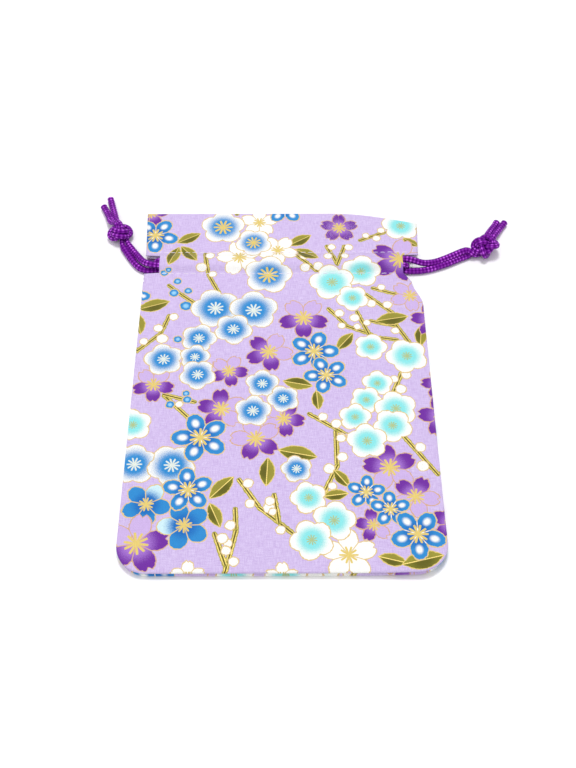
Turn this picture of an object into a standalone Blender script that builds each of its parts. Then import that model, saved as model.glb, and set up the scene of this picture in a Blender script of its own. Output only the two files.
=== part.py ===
"""A small flat kinchaku pouch of printed cotton with two braided drawstrings, lying on its back panel.

X runs across the pouch, Y from the bottom seam towards the mouth and Z up. The origin is the middle
of the underside, on the surface that the pouch lies on. All lengths are in metres.
"""
import math

import bmesh
import bpy
from mathutils import Vector

# Driving sizes of the sewn pouch
POUCH_WIDTH = 0.100
POUCH_LENGTH = 0.1485
CLOTH = 0.00035
LAYER_GAP = 0.00025
STITCHED_GAP = 0.00012
HEADER_LENGTH = 0.020
HEADER_FLARE = 0.0009
HEADER_LIFT = 0.0012
HEADER_CORNER_DROP = 0.0042
HEADER_CORNER_SPAN = 0.031
CASING_WIDTH = 0.0103
HEM_BELOW_CASING = 0.0025
CORNER_RADIUS = 0.009
CORNER_LIFT = 0.0010
CORNER_LIFT_REACH = 0.026

# The side seams and what is turned in behind them
SEAM_ALLOWANCE = 0.007
FRONT_CURL = 0.0003
BACK_CURL = 0.0007
SEAM_STOP_BELOW_CASING = 0.0037
SIDE_SLACK = 0.0034
SIDE_SLACK_REACH = 0.011

# The cord mouths, each set in from the pouch's side
LEFT_MOUTH_INSET = 0.0056
RIGHT_MOUTH_INSET = 0.0062
LINING_INSET = 0.0005
MOUTH_CORNER = 0.0004

# Drawstrings
CORD_DIAMETER = 0.0024
CORD_IN_CASING = 0.0020
CORD_WRAP = 0.00016
CORD_CROSSED = 0.0016
CROSSING_FROM_MOUTH = 0.0095
CROSSING_REACH = 0.009
CROSSING_PLACES = (-1.3, -0.8, -0.4, 0.0, 0.4, 0.8)
CROSSING_PRESSED = 0.22
CROSSING_EASED = 0.6
CROSSING_SLANT = 1.4
FIRST_CORD_FROM_ROW = 0.0035
CORD_PITCH = 0.0025
LOOP_PAST_MOUTH = 0.0016
LOOP_RISE = 0.0007
CORD_STEP = 0.008
CORD_SIDES_RESOLUTION = 2

# Drape of the empty front panel between its seams
BODY_SAG = 0.0012
SAG_START = 0.008
SAG_END = 0.022

# Mesh steps
COLUMN_STEP = 0.0085
EDGE_ZONE = 0.0105
EDGE_COLUMNS = 3
ROW_STEP = 0.0085
CURL_STEPS = 4
FOLD_STEPS = 3
RISE_PLACES = (0.55, 1.0)
FALL_PLACES = (0.35, 0.7)

# Colours of the print's ground and of the cord
LILAC = (0.64, 0.49, 0.83, 1.0)
PURPLE = (0.22, 0.015, 0.40, 1.0)

# Places along the pouch
BOTTOM = -POUCH_LENGTH / 2
TOP = POUCH_LENGTH / 2
UPPER_ROW = TOP - HEADER_LENGTH
LOWER_ROW = UPPER_ROW - CASING_WIDTH
SEAM_STOP = LOWER_ROW - SEAM_STOP_BELOW_CASING
HEM = LOWER_ROW - HEM_BELOW_CASING
HALF_WIDTH = POUCH_WIDTH / 2 - CLOTH / 2
LEFT_MOUTH = -(POUCH_WIDTH / 2 - LEFT_MOUTH_INSET)
RIGHT_MOUTH = POUCH_WIDTH / 2 - RIGHT_MOUTH_INSET
LOW_CORD = LOWER_ROW + FIRST_CORD_FROM_ROW
HIGH_CORD = LOW_CORD + CORD_PITCH
LOOP_ALONG = LOW_CORD + LOOP_RISE
CROSSING = RIGHT_MOUTH - CROSSING_FROM_MOUTH

# Middle heights of the layers, from the table up
PITCH = CLOTH + LAYER_GAP
CORD_RADIUS = CORD_DIAMETER / 2
PRESSED_RADIUS = CORD_IN_CASING / 2
CROSSED_RADIUS = CORD_CROSSED / 2
BACK_OUTER = CLOTH / 2
BACK_STRIP = BACK_OUTER + 2 * BACK_CURL
FRONT_STRIP = BACK_STRIP + PITCH
FRONT_OUTER = FRONT_STRIP + 2 * FRONT_CURL
BACK_CORD = CLOTH + CORD_WRAP + PRESSED_RADIUS
BACK_CROWN = BACK_CORD + PRESSED_RADIUS + CORD_WRAP + CLOTH / 2
FRONT_INNER_CROWN = BACK_CROWN + PITCH
FRONT_CORD = FRONT_INNER_CROWN + CLOTH / 2 + CORD_WRAP + PRESSED_RADIUS
FRONT_CROWN = FRONT_CORD + PRESSED_RADIUS + CORD_WRAP + CLOTH / 2
BACK_ROW = BACK_OUTER + CLOTH + STITCHED_GAP
FRONT_ROW = FRONT_OUTER + LAYER_GAP
FRONT_INNER_ROW = FRONT_ROW - CLOTH - STITCHED_GAP
BACK_HEADER = BACK_OUTER + PITCH
FRONT_INNER_HEADER = BACK_HEADER + PITCH
CROSSING_LIFT = 2 * CORD_CROSSED + CORD_WRAP - CORD_IN_CASING

# The free ends of each drawstring, from its mouth at the lower cord: across, along, and height over the table
LEFT_FRONT_END = [
    (-0.0034, -0.0001, 0.0044), (-0.0059, 0.0020, 0.0033), (-0.0090, 0.0069, 0.0019),
    (-0.0116, 0.0109, 0.0014), (-0.0132, 0.0136, 0.0015),
]
LEFT_BACK_END = [
    (-0.0031, -0.0003, 0.00135), (-0.0059, -0.0005, 0.00125), (-0.0090, 0.0020, 0.00125),
    (-0.0120, 0.0063, 0.00125), (-0.0141, 0.0099, 0.00122), (-0.0156, 0.0124, 0.00122),
]
RIGHT_FRONT_END = [
    (0.0014, 0.0024, 0.0049), (0.0042, 0.0019, 0.0042), (0.0076, 0.0020, 0.0031),
    (0.0118, 0.0033, 0.0024), (0.0164, 0.0055, 0.0023), (0.0221, 0.0085, 0.0025), (0.0253, 0.0100, 0.0027),
]
RIGHT_BACK_END = [
    (0.0014, -0.0009, 0.0013), (0.0057, -0.0007, 0.00125), (0.0102, 0.0003, 0.00125),
    (0.0163, 0.0028, 0.00125), (0.0221, 0.0058, 0.00122), (0.0258, 0.0071, 0.00122),
]
# Each strand through its knot and out as a cut tail, from the knot's middle
LEFT_FRONT_TAIL = [
    (0.0012, 0.0002, 0.0030), (-0.0008, 0.0053, 0.0030), (-0.0018, 0.0092, 0.0022),
    (-0.0035, 0.0140, 0.0015), (-0.0052, 0.0188, 0.0013),
]
LEFT_BACK_TAIL = [
    (-0.0015, -0.0003, 0.0029), (-0.0034, 0.0048, 0.0029), (-0.0047, 0.0086, 0.0020),
    (-0.0060, 0.0117, 0.0014), (-0.0073, 0.0145, 0.00125),
]
RIGHT_FRONT_TAIL = [
    (-0.0017, 0.0018, 0.0034), (0.0013, 0.0048, 0.0032), (0.0034, 0.0086, 0.0023),
    (0.0052, 0.0114, 0.0016), (0.0067, 0.0140, 0.0014),
]
RIGHT_BACK_TAIL = [
    (0.0011, -0.0007, 0.0026), (0.0041, 0.0041, 0.0028), (0.0062, 0.0074, 0.0020),
    (0.0082, 0.0104, 0.00135), (0.0097, 0.0128, 0.00125),
]
# Each knot's middle from its mouth at the lower cord, and the way that its long side lies
LEFT_KNOT = (-0.0164, 0.01785)
RIGHT_KNOT = (0.0307, 0.00975)
LEFT_KNOT_HEADING = math.radians(112)
RIGHT_KNOT_HEADING = math.radians(15)

# The body of each knot
KNOT_LENGTH = 0.0098
KNOT_WIDTH = 0.0082
KNOT_THICKNESS = 0.0070
KNOT_CLEARANCE = 0.00005
KNOT_SEGMENTS = 16
KNOT_RINGS = 10
WELD = 0.000001


def smooth(value):
    """0 below 0, 1 above 1 and an even rise between."""
    held = min(1.0, max(0.0, value))
    return held * held * (3 - 2 * held)


def spread(start, end, step):
    """Even places from start up to, but without, end."""
    count = max(1, round(abs(end - start) / step))
    return [start + (end - start) * i / count for i in range(count)]


def side_half_width(along, right, lining):
    """Half width of a panel at a place along the pouch, for its right or its left side."""
    mouth = (RIGHT_MOUTH if right else -LEFT_MOUTH) - (LINING_INSET if lining else 0)
    if along >= UPPER_ROW:
        rise = (along - UPPER_ROW) / HEADER_LENGTH
        return HALF_WIDTH + HEADER_FLARE * rise - (LINING_INSET if lining else 0)
    if along >= LOWER_ROW:
        return mouth
    if not right:
        return HALF_WIDTH - (LINING_INSET if lining else 0)
    stop = HALF_WIDTH - SIDE_SLACK
    if along >= SEAM_STOP:
        return stop + (mouth - stop) * (along - SEAM_STOP) / (LOWER_ROW - SEAM_STOP)
    return HALF_WIDTH - SIDE_SLACK * smooth((along - SEAM_STOP) / SIDE_SLACK_REACH + 1)


def place_across(across, along, lining, curl):
    """Moves the columns near a side so that they end on the panel's edge."""
    right = across > 0
    reach = side_half_width(along, right, lining) - curl
    inner = HALF_WIDTH - EDGE_ZONE
    distance = abs(across)
    if distance <= inner:
        return across
    share = (distance - inner) / EDGE_ZONE
    return math.copysign(inner + share * (reach - inner), across)


def round_corner(across, along, curl):
    """Presses the square lower corners of a sheet into round ones."""
    edge, foot = HALF_WIDTH - curl, BOTTOM + CLOTH / 2 + curl
    side = (abs(across) - (edge - CORNER_RADIUS)) / CORNER_RADIUS
    down = ((foot + CORNER_RADIUS) - along) / CORNER_RADIUS
    if side <= 0 or down <= 0:
        return across, along, (math.copysign(1, across), 0.0) if down <= 0 else (0.0, -1.0)
    new_side = side * math.sqrt(1 - down * down / 2)
    new_down = down * math.sqrt(1 - side * side / 2)
    length = math.hypot(new_side, new_down)
    outward = (math.copysign(new_side / length, across), -new_down / length)
    x = math.copysign(edge - CORNER_RADIUS + new_side * CORNER_RADIUS, across)
    return x, foot + CORNER_RADIUS - new_down * CORNER_RADIUS, outward


def header_drop(across, along):
    """How far the slack right corner of the header falls back from the straight top edge."""
    if along <= UPPER_ROW:
        return 0.0
    past = max(0.0, across - (HALF_WIDTH - HEADER_CORNER_SPAN)) / HEADER_CORNER_SPAN
    return HEADER_CORNER_DROP * past * past * (along - UPPER_ROW) / HEADER_LENGTH


def crown(along):
    """1 over the cords in the casing, falling to 0 at its two stitch rows."""
    low = LOW_CORD - PRESSED_RADIUS - CORD_WRAP
    high = HIGH_CORD + PRESSED_RADIUS + CORD_WRAP
    if along < low:
        return smooth((along - LOWER_ROW) / (low - LOWER_ROW))
    return smooth((UPPER_ROW - along) / (UPPER_ROW - high))


def crossing(across):
    """1 where the two cords cross in the back casing, and 0 away from there."""
    return 1 - smooth((abs(across - CROSSING) - CROSSING_REACH / 3) / CROSSING_REACH)


def corner_lift(across, along):
    """The lower right corner stands a little off the table."""
    distance = math.hypot(across - HALF_WIDTH, along - BOTTOM)
    return CORNER_LIFT * smooth(1 - distance / CORNER_LIFT_REACH)


def front_height(across, along, lining):
    """Height of the front panel's outer cloth, or of its turned-in lining."""
    if along >= UPPER_ROW:
        rise = smooth((along - UPPER_ROW) / HEADER_LENGTH)
        slack = HEADER_LIFT * smooth((HALF_WIDTH - across) / HEADER_CORNER_SPAN)
        inner = FRONT_INNER_ROW + (FRONT_INNER_HEADER - FRONT_INNER_ROW) * rise + slack * rise
        return inner if lining else inner + CLOTH + STITCHED_GAP + (PITCH - CLOTH - STITCHED_GAP) * rise
    if along >= LOWER_ROW:
        lift = CROSSING_LIFT * crossing(across)
        low = FRONT_INNER_ROW if lining else FRONT_ROW
        high = (FRONT_INNER_CROWN if lining else FRONT_CROWN) + lift
        return low + (high - low) * crown(along)
    if lining:
        return FRONT_INNER_ROW
    from_seam = min(HALF_WIDTH - abs(across), along - BOTTOM)
    sag = BODY_SAG * smooth((from_seam - SAG_START) / (SAG_END - SAG_START))
    sag *= smooth((HEM - along) / SAG_END)
    return FRONT_OUTER - sag + (FRONT_ROW - FRONT_OUTER) * smooth((along - SEAM_STOP + SAG_END) / SAG_END)


def back_height(across, along, lining):
    """Height of the back panel's outer cloth, flat on the table, or of its turned-in lining."""
    if not lining:
        return BACK_OUTER
    if along >= UPPER_ROW:
        return BACK_ROW + (BACK_HEADER - BACK_ROW) * smooth((along - UPPER_ROW) / HEADER_LENGTH)
    if along >= LOWER_ROW:
        return BACK_ROW + (BACK_CROWN + CROSSING_LIFT * crossing(across) - BACK_ROW) * crown(along)
    return BACK_ROW


def panel_columns():
    """Places across the panel, closer together near its sides."""
    inner = HALF_WIDTH - EDGE_ZONE
    edge = [inner + EDGE_ZONE * i / EDGE_COLUMNS for i in range(1, EDGE_COLUMNS + 1)]
    return [-x for x in reversed(edge)] + spread(-inner, inner, COLUMN_STEP) + [inner] + edge


def casing_rows():
    """Places along the pouch through the casing, close together where it bulges over the cords."""
    low = LOW_CORD - PRESSED_RADIUS - CORD_WRAP
    high = HIGH_CORD + PRESSED_RADIUS + CORD_WRAP
    rows = [LOWER_ROW, LOWER_ROW + MOUTH_CORNER]
    rows += [LOWER_ROW + (low - LOWER_ROW) * share for share in RISE_PLACES]
    rows += [(low + high) / 2, high]
    rows += [high + (UPPER_ROW - high) * share for share in FALL_PLACES]
    return rows + [UPPER_ROW - MOUTH_CORNER]


def body_rows(curl):
    """Places along the pouch from the bottom seam to the lower stitch row."""
    foot = BOTTOM + CLOTH / 2 + curl
    rows = spread(foot, foot + CORNER_RADIUS, CORNER_RADIUS / EDGE_COLUMNS)
    rows += spread(foot + CORNER_RADIUS, SEAM_STOP - SAG_END / 2, ROW_STEP)
    return rows + spread(SEAM_STOP - SAG_END / 2, SEAM_STOP, ROW_STEP / 2) + [SEAM_STOP]


def panel_rows(curl):
    """(place along, whether in the lining) for each row, up the outside and down the turned-in top."""
    last = TOP - CLOTH / 2 - PITCH / 2
    outer = body_rows(curl) + casing_rows() + spread(UPPER_ROW, last, HEADER_LENGTH / 4) + [last]
    inner = [place for place in outer if place > LOWER_ROW + MOUTH_CORNER / 2] + [LOWER_ROW, HEM]
    inner.sort(reverse=True)
    fold = ["fold"] * (FOLD_STEPS - 1)
    return [(place, False) for place in outer] + fold + [(place, True) for place in inner]


def edge_row_width(along):
    """The place that a row's edge is read at, so that a mouth's corners stay square."""
    if abs(along - LOWER_ROW) < MOUTH_CORNER / 2:
        return LOWER_ROW - MOUTH_CORNER / 2
    return along


def make_panel(name, height, curl, strip, fold_sign):
    """One panel: a sheet with its top turned in, and its side and bottom seam allowances."""
    columns, rows = panel_columns(), panel_rows(curl)
    made = bmesh.new()
    bmesh.ops.create_grid(made, x_segments=len(columns) - 1, y_segments=len(rows) - 1, size=1)
    grid = sorted(made.verts, key=lambda vert: (round(vert.co.y, 5), vert.co.x))
    width = len(columns)
    outward = {}
    for number, row in enumerate(rows):
        if row == "fold":
            continue
        along, lining = row
        side_curl = curl if along <= SEAM_STOP and not lining else 0.0
        for vert, across in zip(grid[number * width:(number + 1) * width], columns):
            x = place_across(across, edge_row_width(along), lining, side_curl)
            x, y, outward[vert] = round_corner(x, along, curl)
            vert.co = (x, y - header_drop(x, y), height(x, y, lining) + corner_lift(x, y))
    fold_top(grid, width, rows.index("fold") - 1, fold_sign)
    seam_rows = sum(1 for row in rows if row != "fold" and not row[1] and row[0] <= SEAM_STOP)
    left = [grid[row * width] for row in range(seam_rows - 1, -1, -1)]
    right = [grid[row * width + width - 1] for row in range(seam_rows)]
    chain = left + grid[1:width - 1] + right
    turn_in_allowance(made, chain, outward, curl, strip)
    return finish_panel(name, made)


def fold_top(grid, width, last_outer, fold_sign):
    """Rounds the fold between the header and the lining turned in behind it."""
    for i in range(width):
        outer, inner = grid[last_outer * width + i], grid[(last_outer + FOLD_STEPS) * width + i]
        radius = abs(outer.co.z - inner.co.z) / 2
        for step in range(1, FOLD_STEPS):
            turn = math.pi * step / FOLD_STEPS
            place = outer.co.lerp(inner.co, 0.5)
            place.x = outer.co.x + (inner.co.x - outer.co.x) * step / FOLD_STEPS
            place += Vector((0, radius * math.sin(turn), fold_sign * radius * math.cos(turn)))
            grid[(last_outer + step) * width + i].co = place


def turn_in_allowance(made, chain, outward, curl, strip):
    """Rolls the side and bottom edges under and runs the seam allowance back along the inside."""
    steps = [(curl * math.sin(math.pi * step / CURL_STEPS), (1 - math.cos(math.pi * step / CURL_STEPS)) / 2)
             for step in range(1, CURL_STEPS + 1)]
    starts = [(vert.co.copy(), Vector((*outward[vert], 0.0))) for vert in chain]
    edge = chain
    for out, share in steps + [(-SEAM_ALLOWANCE, 1.0)]:
        edges = [made.edges.get(pair) for pair in zip(edge, edge[1:])]
        fresh = set(bmesh.ops.extrude_edge_only(made, edges=edges)["geom"])
        edge = [next(e.other_vert(old) for e in old.link_edges if e.other_vert(old) in fresh) for old in edge]
        for vert, (start, way) in zip(edge, starts):
            level = start.z - corner_lift(start.x, start.y)
            place = start + way * out
            place.z = level + (strip - level) * share + corner_lift(place.x, place.y)
            vert.co = place


def finish_panel(name, made):
    """Gives the sheet its cloth thickness."""
    bmesh.ops.recalc_face_normals(made, faces=made.faces)
    mesh = bpy.data.meshes.new(name)
    made.to_mesh(mesh)
    made.free()
    panel = bpy.data.objects.new(name, mesh)
    thickness = panel.modifiers.new("cloth", "SOLIDIFY")
    thickness.thickness = CLOTH
    thickness.offset = 0
    thickness.use_even_offset = True
    mesh.shade_smooth()
    return panel


def smooth_route(points, step):
    """Places, with the cord's radius as their last number, along a smooth curve through the given ones."""
    route = []
    for i in range(len(points) - 1):
        near, far = points[i], points[i + 1]
        before = points[i - 1] if i else 2 * near - far
        after = points[i + 2] if i + 2 < len(points) else 2 * far - near
        pieces = max(1, round((far - near).to_3d().length / step))
        for k in range(pieces):
            t = k / pieces
            pull = 2 * before - 5 * near + 4 * far - after
            bend = 3 * near - before - 3 * far + after
            route.append(near + ((far - before) * t + pull * t * t + bend * t * t * t) / 2)
    return route + [points[-1]]


def free_end(mouth, free):
    """A free end from its mouth to its knot."""
    return [Vector((mouth + x, LOW_CORD + y, z, CORD_RADIUS)) for x, y, z in free]


def knot_middle(mouth, knot):
    """Where a knot lies on the table."""
    return Vector((mouth + knot[0], LOW_CORD + knot[1], KNOT_THICKNESS / 2 + KNOT_CLEARANCE))


def tail_route(mouth, knot, tail):
    """A cut tail from its knot to its tip."""
    middle = knot_middle(mouth, knot)
    return [Vector((middle.x + x, middle.y + y, z, CORD_RADIUS)) for x, y, z in tail]


def knot_body(name, middle, heading):
    """The rounded mass of a pulled-tight knot, which is joined to its cord."""
    made = bmesh.new()
    bmesh.ops.create_uvsphere(made, u_segments=KNOT_SEGMENTS, v_segments=KNOT_RINGS, radius=0.5)
    bmesh.ops.scale(made, verts=made.verts, vec=(KNOT_LENGTH, KNOT_WIDTH, KNOT_THICKNESS))
    mesh = bpy.data.meshes.new(name)
    made.to_mesh(mesh)
    made.free()
    body = bpy.data.objects.new(name, mesh)
    body.location = middle
    body.rotation_euler.z = heading
    body.hide_render = True
    body.display_type = "WIRE"
    return body


def casing_places(mouth, far_mouth):
    """Places across the casing from a cord's own mouth to the far one, closer together at the crossing."""
    near_crossing = [CROSSING + CROSSING_REACH * share for share in CROSSING_PLACES]
    left, right = min(mouth, far_mouth), max(mouth, far_mouth)
    return sorted([left, right] + near_crossing, reverse=mouth > far_mouth)


def front_run(mouth, far_mouth, along):
    """The straight run through the front casing."""
    return [
        Vector((x, along, FRONT_CORD + CROSSING_LIFT * crossing(x), PRESSED_RADIUS))
        for x in casing_places(mouth, far_mouth)
    ]


def back_run(mouth, far_mouth, left_along, right_along, over):
    """The run through the back casing, where the two drawstrings cross near the right mouth."""
    run = []
    for x in reversed(casing_places(mouth, far_mouth)):
        away = abs(x - CROSSING) / CROSSING_REACH
        pressed = 1 - smooth((away - CROSSING_PRESSED) / CROSSING_EASED)
        radius = PRESSED_RADIUS + (CROSSED_RADIUS - PRESSED_RADIUS) * pressed
        share = smooth((x - CROSSING) / (CROSSING_SLANT * CROSSING_REACH) + 0.5)
        height = CLOTH + CORD_WRAP + radius
        if over:
            height += (CORD_CROSSED + CORD_WRAP) * pressed
        run.append(Vector((x, left_along + (right_along - left_along) * share, height, radius)))
    return run


def cord_curve(name, route):
    """One round cord along a route."""
    places = smooth_route(route, CORD_STEP)
    curve = bpy.data.curves.new(name, "CURVE")
    curve.dimensions = "3D"
    curve.bevel_depth = 1.0
    curve.bevel_resolution = CORD_SIDES_RESOLUTION
    curve.use_fill_caps = True
    spline = curve.splines.new("POLY")
    spline.points.add(len(places) - 1)
    for point, place in zip(spline.points, places):
        point.co = (*place[:3], 1.0)
        point.radius = place[3]
    return bpy.data.objects.new(name, curve)


def curve_to_mesh(curve_object, name):
    """A closed mesh of a curve object, which it takes the place of."""
    bpy.context.scene.collection.objects.link(curve_object)
    evaluated = curve_object.evaluated_get(bpy.context.evaluated_depsgraph_get())
    mesh = bpy.data.meshes.new_from_object(evaluated)
    made = bmesh.new()
    made.from_mesh(mesh)
    bmesh.ops.remove_doubles(made, verts=made.verts, dist=WELD)
    made.to_mesh(mesh)
    made.free()
    bpy.data.objects.remove(curve_object)
    return bpy.data.objects.new(name, mesh)


def drawstring(name, mouth, far, loop_along, ends, tails, heights, over, knot, heading, cutters):
    """One cord: from a tail through its knot, round through both casings, back to the knot and out again."""
    front_along, far_back_along, back_along = heights
    way = math.copysign(LOOP_PAST_MOUTH, far)
    loop = Vector((far + way, loop_along, (FRONT_CORD + BACK_CORD) / 2, PRESSED_RADIUS))
    left_along, right_along = (back_along, far_back_along) if mouth < 0 else (far_back_along, back_along)
    route = (free_end(mouth, ends[0]) + tail_route(mouth, knot, tails[0]))[::-1]
    route += front_run(mouth, far, front_along) + [loop]
    route += back_run(mouth, far, left_along, right_along, over)
    route += free_end(mouth, ends[1]) + tail_route(mouth, knot, tails[1])
    piece = curve_to_mesh(cord_curve(name + "_route", route), name)
    body = knot_body(name + "_knot", knot_middle(mouth, knot), heading)
    cutters.objects.link(body)
    join = piece.modifiers.new("knot", "BOOLEAN")
    join.operation = "UNION"
    join.solver = "EXACT"
    join.object = body
    piece.data.shade_smooth()
    return piece


def plain_material(name, colour, roughness):
    """A Principled material of one colour."""
    material = bpy.data.materials.new(name)
    material.use_nodes = True
    shader = material.node_tree.nodes["Principled BSDF"]
    shader.inputs["Base Color"].default_value = colour
    shader.inputs["Roughness"].default_value = roughness
    shader.inputs["Metallic"].default_value = 0.0
    return material


def main():
    """Builds the two panels and the two drawstrings."""
    for thing in list(bpy.data.objects):
        bpy.data.objects.remove(thing)
    pouch = bpy.data.collections.new("kinchaku_pouch")
    bpy.context.scene.collection.children.link(pouch)
    cutters = bpy.data.collections.new("knot_bodies")
    bpy.context.scene.collection.children.link(cutters)
    cotton = plain_material("printed_cotton", LILAC, 0.9)
    braid = plain_material("purple_braid", PURPLE, 0.45)
    pieces = [
        (make_panel("back_panel", back_height, BACK_CURL, BACK_STRIP, -1), cotton),
        (make_panel("front_panel", front_height, FRONT_CURL, FRONT_STRIP, 1), cotton),
        (drawstring("left_drawstring", LEFT_MOUTH, RIGHT_MOUTH, LOOP_ALONG, (LEFT_FRONT_END, LEFT_BACK_END),
                    (LEFT_FRONT_TAIL, LEFT_BACK_TAIL), (LOW_CORD, HIGH_CORD, LOW_CORD), True,
                    LEFT_KNOT, LEFT_KNOT_HEADING, cutters), braid),
        (drawstring("right_drawstring", RIGHT_MOUTH, LEFT_MOUTH, HIGH_CORD, (RIGHT_FRONT_END, RIGHT_BACK_END),
                    (RIGHT_FRONT_TAIL, RIGHT_BACK_TAIL), (HIGH_CORD, HIGH_CORD, LOW_CORD), False,
                    RIGHT_KNOT, RIGHT_KNOT_HEADING, cutters), braid),
    ]
    for piece, material in pieces:
        piece.data.materials.append(material)
        pouch.objects.link(piece)


main()
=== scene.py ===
"""The looks of a small flat kinchaku pouch: printed cotton, stitched casing and braided drawstrings.

Places and sizes are in millimetres in the frame's own axes, and MM turns them into metres.
"""
import math
from types import SimpleNamespace

import bmesh
import bpy
import numpy as np
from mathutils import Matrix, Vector


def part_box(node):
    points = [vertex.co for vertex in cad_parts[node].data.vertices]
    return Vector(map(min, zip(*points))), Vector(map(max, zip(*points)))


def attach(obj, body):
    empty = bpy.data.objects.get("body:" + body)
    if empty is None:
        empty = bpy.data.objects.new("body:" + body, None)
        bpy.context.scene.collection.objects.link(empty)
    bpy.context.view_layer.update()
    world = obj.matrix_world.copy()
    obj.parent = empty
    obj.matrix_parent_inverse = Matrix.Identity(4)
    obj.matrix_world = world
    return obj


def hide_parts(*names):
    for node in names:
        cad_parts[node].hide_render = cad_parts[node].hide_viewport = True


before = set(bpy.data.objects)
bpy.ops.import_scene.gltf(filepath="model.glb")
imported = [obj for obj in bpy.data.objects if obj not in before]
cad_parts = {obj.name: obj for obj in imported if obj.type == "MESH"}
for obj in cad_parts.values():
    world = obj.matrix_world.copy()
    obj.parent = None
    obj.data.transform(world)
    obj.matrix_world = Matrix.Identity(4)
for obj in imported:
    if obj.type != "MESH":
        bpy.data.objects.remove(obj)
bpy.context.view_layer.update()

MM = 0.001
FRONT_LOW, FRONT_HIGH = (np.array(corner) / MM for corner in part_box("front_panel"))

# The sewn pouch, as the frame has it
CLOTH = 0.35
LAYER_GAP = 0.25
STITCHED_GAP = 0.12
HEADER_LENGTH = 20.0
HEADER_FLARE = 0.9
HEADER_LIFT = 1.2
HEADER_CORNER_DROP = 4.2
HEADER_CORNER_SPAN = 31.0
WING_DROP = 2.4
CASING_WIDTH = 10.3
HEM_BELOW_CASING = 2.5
CORNER_RADIUS = 9.0
CORNER_LIFT = 1.0
CORNER_LIFT_REACH = 26.0
SEAM_ALLOWANCE = 7.0
FRONT_CURL = 0.3
BACK_CURL = 0.7
SEAM_STOP_BELOW_CASING = 3.7
SIDE_SLACK = 3.4
SIDE_SLACK_REACH = 11.0
LEFT_MOUTH_INSET = 5.6
RIGHT_MOUTH_INSET = 6.2
LINING_INSET = 0.5
MOUTH_CORNER = 0.4
CORD_IN_CASING = 1.5
CORD_IN_CASING_WIDTH = 2.3
CORD_WRAP = 0.1
CORD_CROSSED = 1.2
CROWN_FLAT = 0.2
LOOP_RISE = 0.7
CROSSING_PRESSED = 0.22
CROSSING_EASED = 0.6
CROSSING_SLANT = 1.4
CROSSING_FROM_MOUTH = 9.5
CROSSING_REACH = 9.0
FIRST_CORD_FROM_ROW = 3.5
CORD_PITCH = 2.5
LOOP_PAST_MOUTH = 1.6
BODY_SAG = 1.2
SAG_START = 8.0
SAG_END = 22.0
PUCKER_REACH = 2.6
PUCKER_ABOVE = 2.4
PUCKER_SIZE_BELOW = 0.085
PUCKER_SIZE_ABOVE = 0.06
PUCKER_FADE = 6.0

TOP = FRONT_HIGH[1]
BOTTOM = FRONT_LOW[1]
HALF_WIDTH = FRONT_HIGH[0] - HEADER_FLARE
UPPER_ROW = TOP - HEADER_LENGTH
LOWER_ROW = UPPER_ROW - CASING_WIDTH
SEAM_STOP = LOWER_ROW - SEAM_STOP_BELOW_CASING
HEM = LOWER_ROW - HEM_BELOW_CASING
LEFT_MOUTH = -(HALF_WIDTH + CLOTH / 2 - LEFT_MOUTH_INSET)
RIGHT_MOUTH = HALF_WIDTH + CLOTH / 2 - RIGHT_MOUTH_INSET
LOW_CORD = LOWER_ROW + FIRST_CORD_FROM_ROW
HIGH_CORD = LOW_CORD + CORD_PITCH
CROSSING = RIGHT_MOUTH - CROSSING_FROM_MOUTH

# Middle heights of the cloth layers and of the cords, from the table up
PITCH = CLOTH + LAYER_GAP
PRESSED_RADIUS = CORD_IN_CASING / 2
BACK_OUTER = CLOTH / 2
BACK_STRIP = BACK_OUTER + 2 * BACK_CURL
FRONT_STRIP = BACK_STRIP + PITCH
FRONT_OUTER = FRONT_STRIP + 2 * FRONT_CURL
BACK_CORD = CLOTH + CORD_WRAP + PRESSED_RADIUS
BACK_CROWN = BACK_CORD + PRESSED_RADIUS + CORD_WRAP + CLOTH / 2
FRONT_INNER_CROWN = BACK_CROWN + PITCH
FRONT_CORD = FRONT_INNER_CROWN + CLOTH / 2 + CORD_WRAP + PRESSED_RADIUS
FRONT_CROWN = FRONT_CORD + PRESSED_RADIUS + CORD_WRAP + CLOTH / 2
BACK_ROW = BACK_OUTER + CLOTH + STITCHED_GAP
FRONT_ROW = FRONT_OUTER + LAYER_GAP
FRONT_INNER_ROW = FRONT_ROW - CLOTH - STITCHED_GAP
BACK_HEADER = BACK_OUTER + PITCH
FRONT_INNER_HEADER = BACK_HEADER + PITCH
CROSSING_LIFT = 2 * CORD_CROSSED + CORD_WRAP - CORD_IN_CASING

# The photograph's viewpoint
CAMERA_PLACE = (1.3, -213.55, 289.6)
CAMERA_ELEVATION = math.radians(54.0)
CAMERA_YAW = math.radians(0.19)
FOCAL_PIXELS = 1060.0
FRAME_HEIGHT_PIXELS = 768.0
SENSOR = 36.0

# Mesh steps of the cloth
COLUMN_STEP = 0.9
ROW_STEP = 0.9
EDGE_ZONE = 10.5
CURL_STEPS = 6
FOLD_STEPS = 6
STRIP_STEPS = 3

# The print reads at this height over the table, along the photograph's own slant
PRINT_HEIGHT = 2.0
PRINT_SLANT = 1.0 / math.tan(CAMERA_ELEVATION)
PRINT_LAYERS = 4
REPEAT = (100.0, 148.5)
BACK_SHIFT = (37.0, 52.0)

# Kinds of motif
SPOTTED, SOLID_BLUE, BLUE_PLUM, CYAN_PLUM, WHITE_CHERRY, PURPLE_CHERRY = 1, 2, 3, 4, 5, 6
STAR_PLUM = 3.5
LEAF, BRANCH, WHITE_BUD, BLUE_BUD = 7, 8, 9, 10
BRANCH_HALF_WIDTH = 0.5
BUD_SIZE = 0.88
BUD_OFF_BRANCH = 0.6
MOTIF_MARGIN = 1.4

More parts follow.
